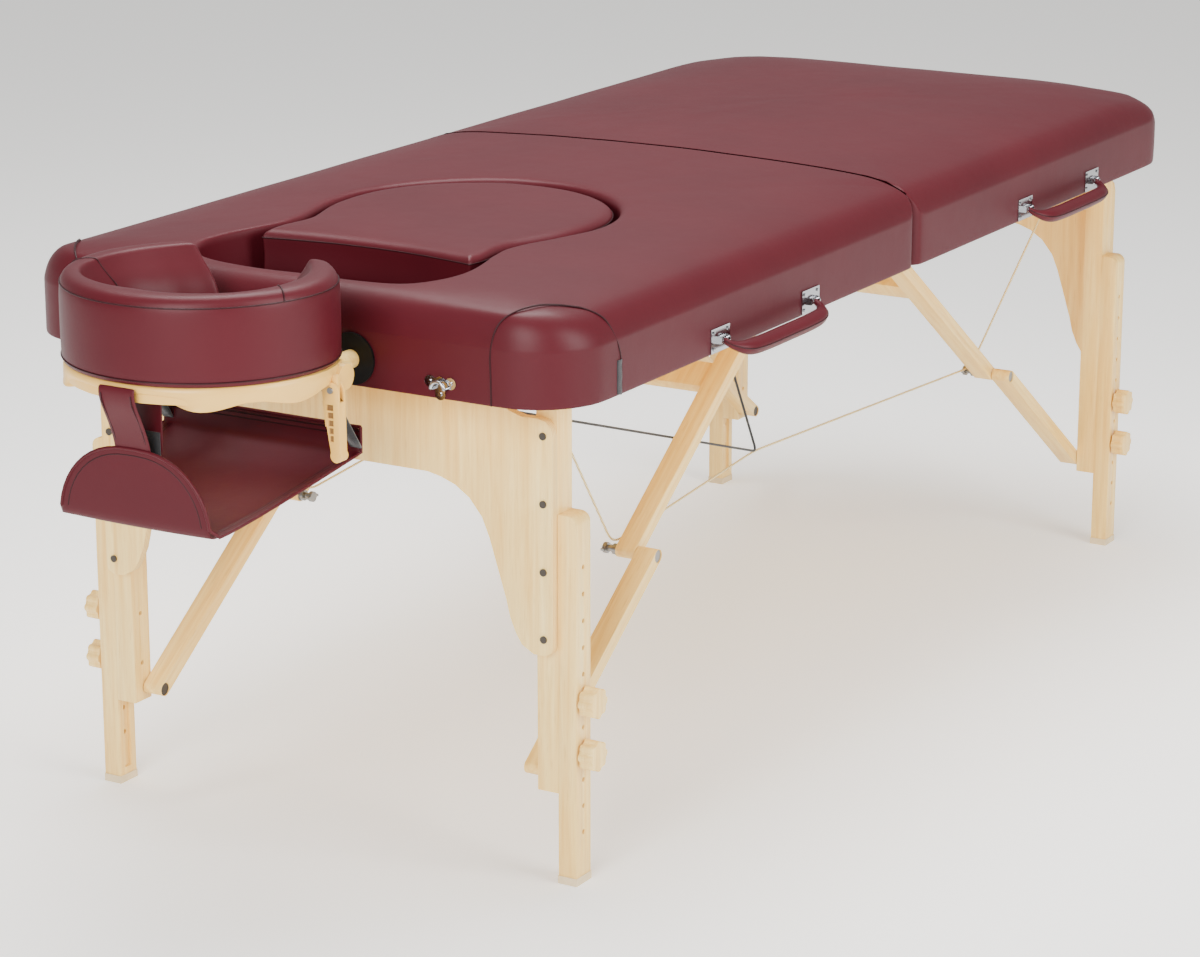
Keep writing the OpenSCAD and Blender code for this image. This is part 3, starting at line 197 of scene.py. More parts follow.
# Where the wire between the ring and the foot end's knee is parted, as a share of that length.
PARTED = 0.86
for side, name in SIDES:
    knees = []
    for end_name in ("head", "foot"):
        y, z = knee_at(end_name)
        knees.append(Vector((MIDDLE_X + side * CABLE_X * MM, y, z + CABLE_LIFT * MM)))
    route = rounded([at(side * ANCHOR_X, HEAD_LEGS, ANCHOR_Z), knees[0], at(side * CABLE_X, RING_S, RING_Z),
                     knees[1], at(side * ANCHOR_X, FOOT_LEGS, ANCHOR_Z, FOOT)], CABLE_BEND)
    # The wire is modelled in lengths that meet at the knees, the ring and the parting.
    # Points 4 and 19 are at the knees, 11 at the ring and 15 at the parting.
    route.insert(15, route[14].lerp(route[15], PARTED))
    for part, points, body, next_body, turn_from, turn_to in (
            ("head_end", route[:5], "head_top", "head_upper", 0, 1),
            ("head_span", route[11:3:-1], "head_top", "head_upper", 8, 7),
            ("middle_span", route[11:16], "head_top", "foot_top", 14, 15),
            ("foot_span", route[15:20], "foot_top", "foot_upper", 15, 16),
            ("foot_end", route[:18:-1], "foot_top", "foot_upper", 23, 22)):
        cable = strands("stay_cable_" + name + "_" + part, [points], CABLE_R, wire, None, sides=3)
        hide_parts("stay_cables")
        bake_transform(cable)

# The elastic cords are black braided shock cord. Each one loops through a ring on the cable and is fixed to the
# inside of the end panel and to the deck, so that it lifts the slack cable when the table is folded.
elastic, tree, shader, place = textured("braided_elastic", {"Roughness": 0.85, "Sheen Weight": 0.25})
braid = add(tree, "TexVoronoi", {"Scale": 1400}, {"Vector": place})
tint(tree, shader, braid.outputs["Distance"], "#232326", "#0e0e10")
dent(tree, shader, braid.outputs["Distance"], 0.6, 0.4)

ELASTIC_R, ELASTIC_X, ELASTIC_BEND = 1.7, 235.5, 12
PANEL_HOOK_X, PANEL_HOOK_S, PANEL_HOOK_Z = 240, 810.5, 575
DECK_HOOK_S, DECK_HOOK_Z = 310, 662
for side, name in SIDES:
    route = rounded([at(side * PANEL_HOOK_X, PANEL_HOOK_S, PANEL_HOOK_Z), at(side * ELASTIC_X, RING_S, RING_Z),
                     at(side * ELASTIC_X, DECK_HOOK_S, DECK_HOOK_Z)], ELASTIC_BEND)
    cord = strands("elastic_cord_" + name, [route], ELASTIC_R, elastic, None, sides=3)
    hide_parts("elastic_cords")
    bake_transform(cord)

# The wooden parts are steamed birch and birch plywood, sanded, with their edges eased, under clear satin lacquer.
# The lacquer gives the eye a soft gloss over a faint straight grain with small dark flecks.
GRAIN_MM, FLECK_MM = 9, 1.4
GRAIN_STRETCH = 0.045


def birch(name, turn=(0, 0, 0)):
    """Lacquered birch whose grain runs upright before it is turned."""
    material, tree, shader, place = textured(name, {"Roughness": 0.42, "Coat Weight": 0.25, "Coat Roughness": 0.3})
    turned = add(tree, "Mapping", {"Rotation": turn}, {"Vector": place})
    drawn = add(tree, "Mapping", {"Scale": (1, 1, GRAIN_STRETCH)}, {"Vector": turned.outputs[0]})
    growth = add(tree, "TexNoise", {"Scale": 1 / (GRAIN_MM * MM), "Detail": 4, "Roughness": 0.6, "Distortion": 0.5},
                 {"Vector": drawn.outputs[0]})
    tone = two_tones(tree, growth.outputs["Fac"], "#e9c06c", "#fbe29c", 0.3, 0.72)
    fleck = add(tree, "TexNoise", {"Scale": 1 / (FLECK_MM * MM), "Detail": 1}, {"Vector": drawn.outputs[0]})
    spot = add(tree, "MapRange", {"From Min": 0.62, "From Max": 0.74, "To Max": 0.35},
               {"Value": fleck.outputs["Fac"]})
    broad = add(tree, "TexNoise", {"Scale": 4.5, "Detail": 1}, {"Vector": place})
    flecked = add(tree, "Mix", {"data_type": "RGBA", 7: linear("#c5964a")}, {0: spot.outputs[0], 6: tone})
    warm = add(tree, "Mix", {"data_type": "RGBA", "blend_type": "MULTIPLY", 7: linear("#fde9b4")},
               {0: broad.outputs["Fac"], 6: flecked.outputs[2]})
    tree.links.new(warm.outputs[2], shader.inputs["Base Color"])
    dent(tree, shader, growth.outputs["Fac"], 0.12, 0.4)
    return material


RIGHT_ANGLE = math.pi / 2
STRUT_SLOPE = math.radians(53.7)
upright = birch("lacquered_birch_upright")
lengthways = birch("lacquered_birch_lengthways", (RIGHT_ANGLE, 0, 0))
across = birch("lacquered_birch_across", (0, RIGHT_ANGLE, 0))
head_slope = birch("lacquered_birch_head_struts", (STRUT_SLOPE, 0, 0))
foot_slope = birch("lacquered_birch_foot_struts", (-STRUT_SLOPE, 0, 0))


def piece_from(name, bm, materials, body, smooth=True):
    """A finished mesh as a piece that rides on a body."""
    mesh = bpy.data.meshes.new(name)
    bm.to_mesh(mesh)
    bm.free()
    for material in materials:
        mesh.materials.append(material)
    if smooth:
        mesh.shade_smooth()
    piece = bpy.data.objects.new(name, mesh)
    bpy.context.scene.collection.objects.link(piece)
    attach(piece, body)
    return piece


SHARP_EDGE, FLAT_EDGE = math.radians(35), math.radians(1)
EASED_EDGE = math.radians(32)


def eased_copy(node, body, material, width):
    """A copy of a part of the model with its sharp edges eased by a width in mm, in place of the plain one."""
    bm = bmesh.new()
    bm.from_mesh(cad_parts[node].data)
    bmesh.ops.remove_doubles(bm, verts=bm.verts, dist=1e-6)
    bmesh.ops.dissolve_limit(bm, angle_limit=FLAT_EDGE, verts=bm.verts, edges=bm.edges)
    sharp = [e for e in bm.edges if len(e.link_faces) == 2 and e.calc_face_angle() > SHARP_EDGE]
    bmesh.ops.bevel(bm, geom=sharp, offset=width * MM, offset_type="OFFSET", segments=2, profile=0.5,
                    affect="EDGES", clamp_overlap=True, material=-1)
    bmesh.ops.triangulate(bm, faces=[f for f in bm.faces if len(f.verts) > 4])
    piece = piece_from(node + "_eased", bm, [material], body)
    piece.data.set_sharp_from_angle(angle=EASED_EDGE)
    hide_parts(node)
    return piece


def repaint(nodes, material):
    """Puts a material on parts of the model that are shown as they are."""
    for node in nodes:
        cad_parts[node].data.materials.clear()
        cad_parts[node].data.materials.append(material)


# The end panels are birch plywood, and their sawn edges show its thin layers, drawn two to a real one.
ply_edge, tree, shader, place = textured("birch_plywood_edge", {"Roughness": 0.5})
layers = add(tree, "TexWave", {"Scale": 105, "Distortion": 0.4, "bands_direction": "Y"}, {"Vector": place})
tint(tree, shader, layers.outputs["Fac"], "#d3a455", "#f2d48e")

PANEL_EASE, EXTENSION_EASE, KNOB_EASE = 1.2, 1.0, 1.6
for end_name, slope in (("head", head_slope), ("foot", foot_slope)):
    for part, holder, material in (("_posts", "_legs", upright), ("_panel", "_legs", upright),
                                   ("_upper_struts", "_upper", slope), ("_lower_struts", "_lower", slope)):
        wooden = eased_copy(end_name + part, end_name + holder, material, PANEL_EASE)
        if part == "_panel":
            wooden.data.materials.append(ply_edge)
            for polygon in wooden.data.polygons:
                polygon.material_index = 1 if abs(polygon.normal.y) < 0.4 else 0
    for side in ("right", "left"):
        leg = f"{end_name}_{side}"
        eased_copy("ext_" + leg, "extension_" + leg, upright, EXTENSION_EASE)
        for level in ("upper", "lower"):
            eased_copy(f"knob_{leg}_{level}", f"height_knob_{leg}_{level}", upright, KNOB_EASE)
repaint(("head_frame", "foot_frame"), lengthways)
repaint(("head_deck", "foot_deck", "cradle_frame", "blocks_head", "blocks_foot"), across)

# The fittings are chromed plate, zinc-plated bolts, dark screws, black moulded sockets and cream rubber feet.
# Chrome and zinc give the eye sharp and soft mirrors, and the moulded plastic a fine even sparkle.
chrome, tree, shader, place = textured("polished_chrome", {"Metallic": 1, "Base Color": linear("#b9babd")})
smear = add(tree, "TexNoise", {"Scale": 60, "Detail": 3}, {"Vector": place})
gloss(tree, shader, smear.outputs["Fac"], 0.06, 0.2)

zinc, tree, shader, place = textured("zinc_plated_steel", {"Metallic": 1, "Base Color": linear("#8f8e8c")})
smear = add(tree, "TexNoise", {"Scale": 220, "Detail": 4}, {"Vector": place})
gloss(tree, shader, smear.outputs["Fac"], 0.22, 0.5)
dent(tree, shader, smear.outputs["Fac"], 0.2, 0.2)

black_plastic, tree, shader, place = textured(
    "black_moulded_plastic", {"Roughness": 0.5, "Base Color": linear("#0a0a0b"), "Specular IOR Level": 0.2})
spark = add(tree, "TexNoise", {"Scale": 1500, "Detail": 2}, {"Vector": place})
dent(tree, shader, spark.outputs["Fac"], 0.25, 0.2)

cream_rubber, tree, shader, place = textured("cream_rubber", {"Roughness": 0.7})
scuff = add(tree, "TexNoise", {"Scale": 90, "Detail": 5, "Roughness": 0.7}, {"Vector": place})
tint(tree, shader, scuff.outputs["Fac"], "#c9b185", "#e9d6b0")

cream_abs, tree, shader, place = textured("cream_moulded_abs", {"Roughness": 0.36, "IOR": 1.53})
cloud = add(tree, "TexNoise", {"Scale": 14, "Detail": 2}, {"Vector": place})
tint(tree, shader, cloud.outputs["Fac"], "#dda84f", "#e9bc62")
orange_peel = add(tree, "TexNoise", {"Scale": 700, "Detail": 1}, {"Vector": place})
dent(tree, shader, orange_peel.outputs["Fac"], 0.08, 0.3)

dark_steel, tree, shader, place = textured("blackened_steel", {"Metallic": 0.9, "Base Color": linear("#4b4641")})
smear = add(tree, "TexNoise", {"Scale": 260, "Detail": 3}, {"Vector": place})
gloss(tree, shader, smear.outputs["Fac"], 0.25, 0.5)

repaint(("head_leg_bolts", "foot_leg_bolts"), dark_steel)
repaint(("latch_keepers", "latch_plates", "latch_hooks", "handle_plates_head", "handle_plates_foot"), chrome)
repaint(("pivot_pins_head", "pivot_pins_foot", "hinge_leaves_head", "hinge_leaves_foot",
         "head_knee_forks", "foot_knee_forks", "head_knee_bolts", "foot_knee_bolts"), zinc)
repaint(("dowel_sockets",), black_plastic)
repaint(("cap_head_right", "cap_head_left", "cap_foot_right", "cap_foot_left"), cream_rubber)
repaint(("cradle_platform", "cam_lever"), cream_abs)

# The top is two padded halves in burgundy polyurethane leather, pulled over foam and stapled under the rails.
# The leather has a fine pebble grain, drawn a little coarser than life so that it shows, and a satin gloss.
PEBBLE_MM = 1.3


def leather(name, dark, light, roughness=0.43):
    """Grained leather between two tones, whose gloss varies a little where it is worn."""
    material, tree, shader, place = textured(name, {"Specular IOR Level": 0.2})
    cloud = add(tree, "TexNoise", {"Scale": 5, "Detail": 3, "Roughness": 0.6}, {"Vector": place})
    tone = two_tones(tree, cloud.outputs["Fac"], dark, light, 0.3, 0.7)
    tree.links.new(tone, shader.inputs["Base Color"])
    pebble = add(tree, "TexVoronoi", {"Scale": 1 / (PEBBLE_MM * MM), "feature": "DISTANCE_TO_EDGE"},
                 {"Vector": place})
    worn = add(tree, "TexNoise", {"Scale": 34, "Detail": 4, "Roughness": 0.65}, {"Vector": place})
    gloss(tree, shader, worn.outputs["Fac"], roughness - 0.03, roughness + 0.03)
    grain = add(tree, "Bump", {"Strength": 0.16, "Distance": 0.35 * MM}, {"Height": pebble.outputs["Distance"]})
    crease = add(tree, "Bump", {"Strength": 0.12, "Distance": 2 * MM},
                 {"Height": worn.outputs["Fac"], "Normal": grain.outputs[0]})
    tree.links.new(crease.outputs[0], shader.inputs["Normal"])
    return material


burgundy = leather("burgundy_leather", "#450e17", "#4a1019")
# The seams' piping and stitching is darker than the leather: painted shade of the grooves along them.
burgundy_piping_painted_shade = leather("burgundy_piping_painted_shade", "#25060b", "#2d080e", 0.42)

# Each half's half width and length, and the heights of the top, the rails' lower edge and the deck, in mm.
HALF_W, HALF_L, TABLE_H, FRAME_Z, DECK_TOP = 393.5, 900, 730, 604, 669
CORNER_R, JOINT_R, JOINT_GAP, PAD_H = 88, 18, 0.15, 61
WELL_S, WELL_R = 480, 188
# Height of the padding, as (distance from the edge over half the width, share of the padding's depth).
CROWN = ((0, 0.04), (0.0076, 0.19), (0.0356, 0.475), (0.0864, 0.67), (0.168, 0.8), (0.363, 0.9), (0.635, 0.967),
         (1, 1), (3, 1))
EDGE_SHARE = CROWN[0][1]
# How much faster the padding rises at the head end and the foot end than at the sides.
HEAD_STEEP, FOOT_STEEP = 2.2, 1.15
# How much lower the foam is near the foot end's corners, by distance from the corner over half the width.
FOOT_DROP = ((0, 0.4), (0.1, 0.4), (0.17, 0.3), (0.28, 0.12), (0.42, 0.02), (0.55, 0), (30, 0))
# How far the padding drops beside the centre joint, and beside the well.
JOINT_DROP = ((0, 0.07), (0.006, 0.035), (0.02, 0.014), (0.06, 0.005), (0.14, 0), (30, 0))
RIM_DROP = ((-1, 0.2), (0, 0.15), (0.008, 0.09), (0.027, 0.04), (0.075, 0.008), (0.16, 0), (9, 0))
# The well's outline: degrees from square across, and the share of its radius. Minus 90 points to the head end.
WELL = ((-90, 1.98), (-78, 2.03), (-68, 2.09), (-62, 2.02), (-57, 1.8), (-52, 1.42), (-46, 1.21), (-35, 1.08),
        (-20, 1.02), (0, 1), (90, 1))


def eased(x, table):
    """A smooth line through a table's points that never overshoots them."""
    if x <= table[0][0]:
        return table[0][1]
    rises = [(b[1] - a[1]) / (b[0] - a[0]) for a, b in zip(table, table[1:])]
    for k, (a, b) in enumerate(zip(table, table[1:])):
        if x <= b[0]:
            slopes = []
            for j in (k, k + 1):
                if j == 0 or j == len(rises):
                    slopes.append(rises[min(j, len(rises) - 1)])
                else:
                    p, q = rises[j - 1], rises[j]
                    slopes.append(0 if p * q <= 0 else 2 * p * q / (p + q))
            h = b[0] - a[0]
            t = (x - a[0]) / h
            return ((2 * t ** 3 - 3 * t * t + 1) * a[1] + (t ** 3 - 2 * t * t + t) * h * slopes[0]
                    + (3 * t * t - 2 * t ** 3) * b[1] + (t ** 3 - t * t) * h * slopes[1])
    return table[-1][1]


def well_reach(x, s):
    """How far the well's wall stands from its middle, in the direction of a place."""
    return WELL_R * eased(math.degrees(math.atan2(WELL_S - s, abs(x))), WELL)


def padding_top(x, s, well):
    """Height of the leather over a place on one half, in mm."""
    a, b = CORNER_R - (HALF_W - abs(x)), CORNER_R - (HALF_L - s)
    steep = HEAD_STEEP if well else FOOT_STEEP
    if a > 0 and b > 0:
        edge = min(HALF_W - abs(x), (CORNER_R - math.hypot(a, b)) * (1 + (steep - 1) * b * b / (a * a + b * b)))
    else:
        edge = min(HALF_W - abs(x), (HALF_L - s) * steep)
    share = eased(max(edge, 0) / HALF_W, CROWN) - eased(max(s, 0) / CORNER_R, JOINT_DROP)
    if well:
        share -= eased((math.hypot(x, s - WELL_S) - well_reach(x, s)) / WELL_R, RIM_DROP)
    else:
        from_corner = math.hypot(HALF_W - abs(x), HALF_L - s)
        share = EDGE_SHARE + (share - EDGE_SHARE) * (1 - eased(from_corner / HALF_W, FOOT_DROP))
    wave = 0.9 * noise.noise(Vector((x / 95, s / 130, 3))) + 0.5 * noise.noise(Vector((x / 38, s / 52, 7)))
    return DECK_TOP + PAD_H * share + wave * min(max(edge, 0) / 60, 1)


def edge_stations():
    """Places round the edge of one half: x, s, and the way that the edge faces."""
    places = []
    joint_x, corner_x = HALF_W - JOINT_R, HALF_W - CORNER_R

    def arc(x, s, r, angles):
        for a in angles:
            c, d = math.cos(math.radians(a)), math.sin(math.radians(a))
            places.append((x + r * c, s + r * d, c, d))

    places += [(-joint_x + 2 * joint_x * k / 26, 0, 0, -1) for k in range(27)]
    arc(joint_x, JOINT_R, JOINT_R, (-68, -45, -22))
    side = [JOINT_R + (HALF_L - CORNER_R - JOINT_R) * k / 22 for k in range(23)]
    places += [(HALF_W, s, 1, 0) for s in side]
    arc(corner_x, HALF_L - CORNER_R, CORNER_R, range(9, 90, 9))
    places += [(corner_x - 2 * corner_x * k / 18, HALF_L, 0, 1) for k in range(19)]
    arc(-corner_x, HALF_L - CORNER_R, CORNER_R, range(99, 180, 9))
    places += [(-HALF_W, s, -1, 0) for s in reversed(side)]
    arc(-joint_x, JOINT_R, JOINT_R, (202, 225, 248))
    return places


def set_in(station, d):
    """A place set in from the edge by d: less at the ends, and leaning to the middle at the centre joint."""
    x, s, nx, ns = station
    if ns < 0:
        lean = 0.47 * max(min(x / (HALF_W - JOINT_R), 1), -1)
        return x - (0.53 * nx + lean) * d, s - 0.25 * ns * d + JOINT_GAP
    return x - nx * d, s - ns * d * (1 - 0.4 * ns) + JOINT_GAP


def in_well(station, w):
    """The place on the well's wall that faces a station, set back by w."""
    x, s = station[0], station[1]
    r = well_reach(x, s) + w
    a = math.atan2(s - WELL_S, x)
    return r * math.cos(a), WELL_S + r * math.sin(a)


# The leather's line up a side: how far in from the edge, how high over the rails' lower edge, and how much farther
# in at the foot end's corners. Then how far in each line over the edge of the top runs.
SIDE_LINE = ((4, 1.2, 2), (2.2, 0.4, 2), (0.7, 0.3, 2), (0.1, 1.6, 1.5), (0, 6, 0.8), (0, 30, 0), (0, 56, 0),
             (0, 64, 0.5))
TOP_LINE = (0, 1.2, 3, 7, 14, 23, 34)


def cover_line(station, well):
    """The leather's line from under the rail, over the edge and on to the middle or down into the well."""
    line = []
    turn = 0 if well or station[3] <= 0 else 2 * abs(station[2] * station[3])
    for d, z, round_in in SIDE_LINE:
        line.append((*set_in(station, d + turn * round_in), FRAME_Z + z))
    for d in TOP_LINE:
        x, s = set_in(station, d + turn * (6 + d / 3))
        line.append((x, s, padding_top(x, s, well)))
    inner = line[-1]
    if well:
        rim = in_well(station, 14)
        for share in (0.25, 0.5, 0.75, 1):
            x, s = (p + (q - p) * share for p, q in zip(inner, rim))
            line.append((x, s, padding_top(x, s, True)))
        for w in (9, 5, 2.4, 0.8):
            x, s = in_well(station, w)
            line.append((x, s, padding_top(x, s, True)))
        x, s = in_well(station, 0)
        top = padding_top(x, s, True)
        line += [(x, s, z) for z in (top - 1.5, top - 6, (top + DECK_TOP) / 2, DECK_TOP + 3, DECK_TOP + 0.3)]
    else:
        for share in (0.2, 0.4, 0.6, 0.8, 0.93):
            x, s = (p + (q - p) * share for p, q in zip(inner, (0, HALF_L / 2)))
            line.append((x, s, padding_top(x, s, False)))
        line.append((0, HALF_L / 2, TABLE_H))
    return line


def shaped_grid(bm, columns, rows, point):
    """A grid whose vertices are moved to point(column, row), and whose doubles are merged."""
    made = bmesh.ops.create_grid(bm, x_segments=columns - 1, y_segments=rows - 1, size=1)["verts"]
    for k, vertex in enumerate(made):
        vertex.co = point(k % columns, k // columns)
    bmesh.ops.remove_doubles(bm, verts=made, dist=1e-6)
    return made


def subdivided(piece, levels):
    """Rounds a piece with a subdivision surface."""
    modifier = piece.modifiers.new("rounding", "SUBSURF")
    modifier.levels = modifier.render_levels = levels


def thickened(piece, thickness):
    """Gives a sheet its thickness in mm, half to each side."""
    modifier = piece.modifiers.new("thickness", "SOLIDIFY")
    modifier.thickness = thickness * MM
    modifier.offset = 0


def shell(name, columns, rows, point, material, body):
    """A grid of places as a piece whose faces all face one way."""
    bm = bmesh.new()
    shaped_grid(bm, columns, rows, point)
    bmesh.ops.recalc_face_normals(bm, faces=bm.faces)
    return piece_from(name, bm, [material], body)


stations = edge_stations()
# Faces of the cover above this height, in metres, have to look up.
TOP_FACES_Z = 0.72
for end_name, end in (("head", HEAD), ("foot", FOOT)):
    lines = [cover_line(station, end == HEAD) for station in stations]
    lines.append(lines[0])
    bm = bmesh.new()
    shaped_grid(bm, len(lines), len(lines[0]), lambda column, row: at(*lines[column][row], end))
    bmesh.ops.recalc_face_normals(bm, faces=bm.faces)
    if sum((f.normal.z for f in bm.faces if f.calc_center_median().z > TOP_FACES_Z), 0.0) < 0:
        bmesh.ops.reverse_faces(bm, faces=bm.faces)
    cover = piece_from(end_name + "_padded_top", bm, [burgundy], end_name + "_top")
    subdivided(cover, 2)
    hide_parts(end_name + "_cover", end_name + "_foam")

# A seam runs along the foot half's edge at the centre joint. Its near-black matt thread is painted shade of the
# groove.
joint_shade_thread, tree, shader, place = textured("joint_groove_painted_shade", {"Roughness": 1, "Specular IOR Level": 0})
twist = add(tree, "TexNoise", {"Scale": 900, "Detail": 2}, {"Vector": place})
tint(tree, shader, twist.outputs["Fac"], "#120204", "#1d0508")
seam_line = []
for station in stations:
    if station[3] == -1:
        x, s = set_in(station, 0)
        seam_line.append(at(x, s + 1, padding_top(x, s + 1, False) + 0.2, FOOT))
seam = strands("centre_joint_seam", [seam_line], 1.1, joint_shade_thread, "foot_top")

# Each corner of the head end has a sewn-on patch. Its seam goes up the end, over the crown in an arc and down the
# side, and shows as a thin ridge.
CORNER_SEAM = ((293.8, 900, 604.5), (293.4, 900, 637), (292.8, 900, 663), (296, 897, 688), (303, 890, 0),
               (316, 877, 0), (329, 858, 0), (339, 839, 0), (351, 823, 0), (364, 810, 0), (381, 797, 0),
               (392, 789, 673), (393.5, 780, 650), (393.5, 778, 625), (393.5, 779, 604.5))


def smooth_route(points, steps):
    """A smooth line through points, with the given number of steps between each two."""
    route = []
    for k in range(len(points) - 1):
        p = [Vector(points[min(max(k + j, 0), len(points) - 1)]) for j in (-1, 0, 1, 2)]
        for i in range(steps):
            t = i / steps
            route.append(0.5 * (2 * p[1] + (p[2] - p[0]) * t + (2 * p[0] - 5 * p[1] + 4 * p[2] - p[3]) * t * t
                                + (3 * p[1] - p[0] - 3 * p[2] + p[3]) * t ** 3))
    return route + [Vector(points[-1])]


seams = []
for side in (1, -1):
    points = [(side * x, s, z or padding_top(x, s, True)) for x, s, z in CORNER_SEAM]
    seams.append([at(*p) for p in smooth_route(points, 5)])
seam = strands("corner_patch_seams", seams, 1.1, burgundy_piping_painted_shade, "head_top")

# A folded black woven tab is sewn into the right side behind the corner.
TAB_S, TAB_W, TAB_LOW, TAB_HIGH, TAB_T = 782.5, 11, 606, 647, 0.8
# The tab's fold: share of its half width, and share of how far it stands out.
TAB = ((-1, 0), (-0.9, 0.6), (-0.5, 1), (0, 1.12), (0.5, 1), (0.9, 0.6), (1, 0))
tab = shell("corner_tab", len(TAB), 7, lambda column, row: at(
    HALF_W - 0.3 + 1.7 * TAB[column][1] * (0.75 + 0.25 * math.cos(row * 2.1)),
    TAB_S + TAB[column][0] * TAB_W / 2, TAB_LOW + (TAB_HIGH - TAB_LOW) * row / 6), elastic, "head_top")
thickened(tab, TAB_T)
subdivided(tab, 1)

# The insert is a thick boxed cushion that fills most of the well: foam in the same leather, with a sewn edge
# round its top panel.

# Half of the insert's outline: mm right of the middle, and mm from the well's middle towards the head end.
INSERT_FRONT = ((0, 220), (50, 222), (95, 228), (132, 235), (146, 238.3), (149.5, 239.2))
INSERT_SIDE = ((151.5, 237), (152.6, 231), (154.6, 214), (153, 194), (150, 172), (150.5, 150), (154.5, 129),
               (165, 96), (173, 70), (177.5, 47), (179.6, 22), (180, 0), (176, -38), (163, -76), (142, -111),
               (113, -140), (78, -162), (40, -175.5))


def insert_outline():
    """The insert's outline as places round the well's middle, from the head end round."""
    side = [Vector(p) for p in smooth_route([(*p, 0) for p in (*INSERT_FRONT, *INSERT_SIDE, (0, -180))], 3)]
    return [(p.x, p.y) for p in side] + [(-p.x, p.y) for p in reversed(side[1:-1])]


outline = insert_outline()


def insert_place(k, d):
    """A place on the insert's outline, drawn in by d towards the middle."""
    x, y = outline[k % len(outline)]
    share = 1 - d / math.hypot(x, y)
    return x * share, WELL_S + y * share


# The leather's line from under the insert to its top: how far in from the outline, and how high over the deck.
INSERT_LINE = ((60, 0.4), (8, 0.3), (2.5, 0.6), (0.8, 4), (1.3, 14), (2.2, 27), (1.2, 41), (0.3, 47.5), (0.6, 50.2),
               (2.2, 52.6), (5.5, 55.2), (10, 57.2), (16, 58.4), (30, 59.2), (60, 59.7), (100, 60), (140, 60))


def insert_point(column, row):
    """A place on the insert's leather, whose first and last rows are single places in the middle."""
    if row in (0, len(INSERT_LINE) + 1):
        return at(0, WELL_S, DECK_TOP + (INSERT_LINE[-1][1] if row else INSERT_LINE[0][1]))
    d, z = INSERT_LINE[row - 1]
    return at(*insert_place(column, d), DECK_TOP + z)


insert = shell("insert_pad", len(outline) + 1, len(INSERT_LINE) + 2, insert_point, burgundy, "insert")
subdivided(insert, 1)
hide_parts("insert_cushion")
edge = strands("insert_edge_seam", [[at(*insert_place(k, 0.3), DECK_TOP + 48.6) for k in range(len(outline))]],
               0.9, burgundy_piping_painted_shade, "insert", closed=True)

# The well is lined with the same leather, glued to the deck under the insert.
bm = bmesh.new()
ring = [in_well(station, -1) for station in stations]
ring.append(ring[0])
shaped_grid(bm, len(ring), 3, lambda column, row: at(
    ring[column][0] * row / 2, WELL_S + (ring[column][1] - WELL_S) * row / 2, DECK_TOP + 0.2))
bmesh.ops.recalc_face_normals(bm, faces=bm.faces)
if sum(f.normal.z for f in bm.faces) < 0:
    bmesh.ops.reverse_faces(bm, faces=bm.faces)
lining = piece_from("well_lining", bm, [burgundy], "head_top")

# The face cushion is a horseshoe of soft foam in the same leather: an upright band outside, a top panel that slopes
# to the face, and a piped seam between them.
# Its measures are taken from the solid's box, in mm: the outline lies inside the seam, and the crown on the band.
cushion_low, cushion_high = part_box("face_cushion")
CUSHION_R = (cushion_high[0] - cushion_low[0]) / 2 / MM - 3
CUSHION_S = (JOINT_Y - cushion_low[1]) / MM - 0.99 * CUSHION_R
CUSHION_Z = cushion_low[2] / MM
CUSHION_H = (cushion_high[2] - cushion_low[2]) / MM * 0.9
CUSHION_CROWN = CUSHION_H / 7
OUTER = ((-90, 0.99), (-45, 0.99), (0, 1), (25, 0.955), (38.7, 0.91))
INNER = ((-90, 0.53), (-60, 0.62), (-30, 0.69), (0, 0.6), (30, 0.54), (45, 0.545), (64, 0.61))


def cushion_pair(t):
    """The outer and inner places of the horseshoe's outline, from one tip at -1 to the other at 1."""
    m = -1 if t < 0 else 1
    pair = []
    for table in (OUTER, INNER):
        degrees = -90 + (table[-1][0] + 90) * abs(t)
        r = CUSHION_R * eased(degrees, table)
        a = math.radians(degrees)
        pair.append(Vector((m * r * math.cos(a), CUSHION_S - r * math.sin(a))))
    return pair


# Round the section: share across from outside to inside, share of the band's height, and share of the crown.
SECTION = ((0.5, 0, 0), (0.12, 0, 0), (0.03, 0.01, 0), (0.008, 0.07, 0), (0, 0.25, 0), (0, 0.5, 0), (0, 0.8, 0),
           (0.012, 0.95, 0), (0.03, 1, 0), (0.06, 1, 0.42), (0.13, 1, 0.8), (0.24, 1, 0.97), (0.36, 1, 1),
           (0.45, 1, 0.96), (0.5, 1, 0.8), (0.56, 1, 0.2), (0.66, 0.92, 0), (0.78, 0.8, 0), (0.89, 0.64, 0),
           (0.96, 0.45, 0), (1, 0.25, 0), (0.98, 0.06, 0), (0.9, 0, 0))
# The points of the section that the lower seam, the piped seam and the seams across the top panel run through.
LOWER_PART, EDGE_PART, INNER_PART = 3, 8, 20


def cushion_place(t, part):
    """A place on the face cushion: how far along it, and which point of its section."""
    over = max(abs(t) - 1, 0)
    share = max(min(t, 1), -1)
    outer, inner = cushion_pair(share)
    a, h, crown = SECTION[part % len(SECTION)]
    place = outer.lerp(inner, a)
    z = CUSHION_H * h + CUSHION_CROWN * crown
    if over:
        middle = outer.lerp(inner, 0.5)
        swell = math.sqrt(max(1 - over * over, 0)) if over < 1 else 0
        place = middle.lerp(place, swell)
        z = CUSHION_H * 0.5 + (z - CUSHION_H * 0.5) * swell
        along = Vector((0.25 * (1 if t < 0 else -1), -1)).normalized()
        place = place + along * 14 * over
    return at(place.x, place.y, CUSHION_Z + z)


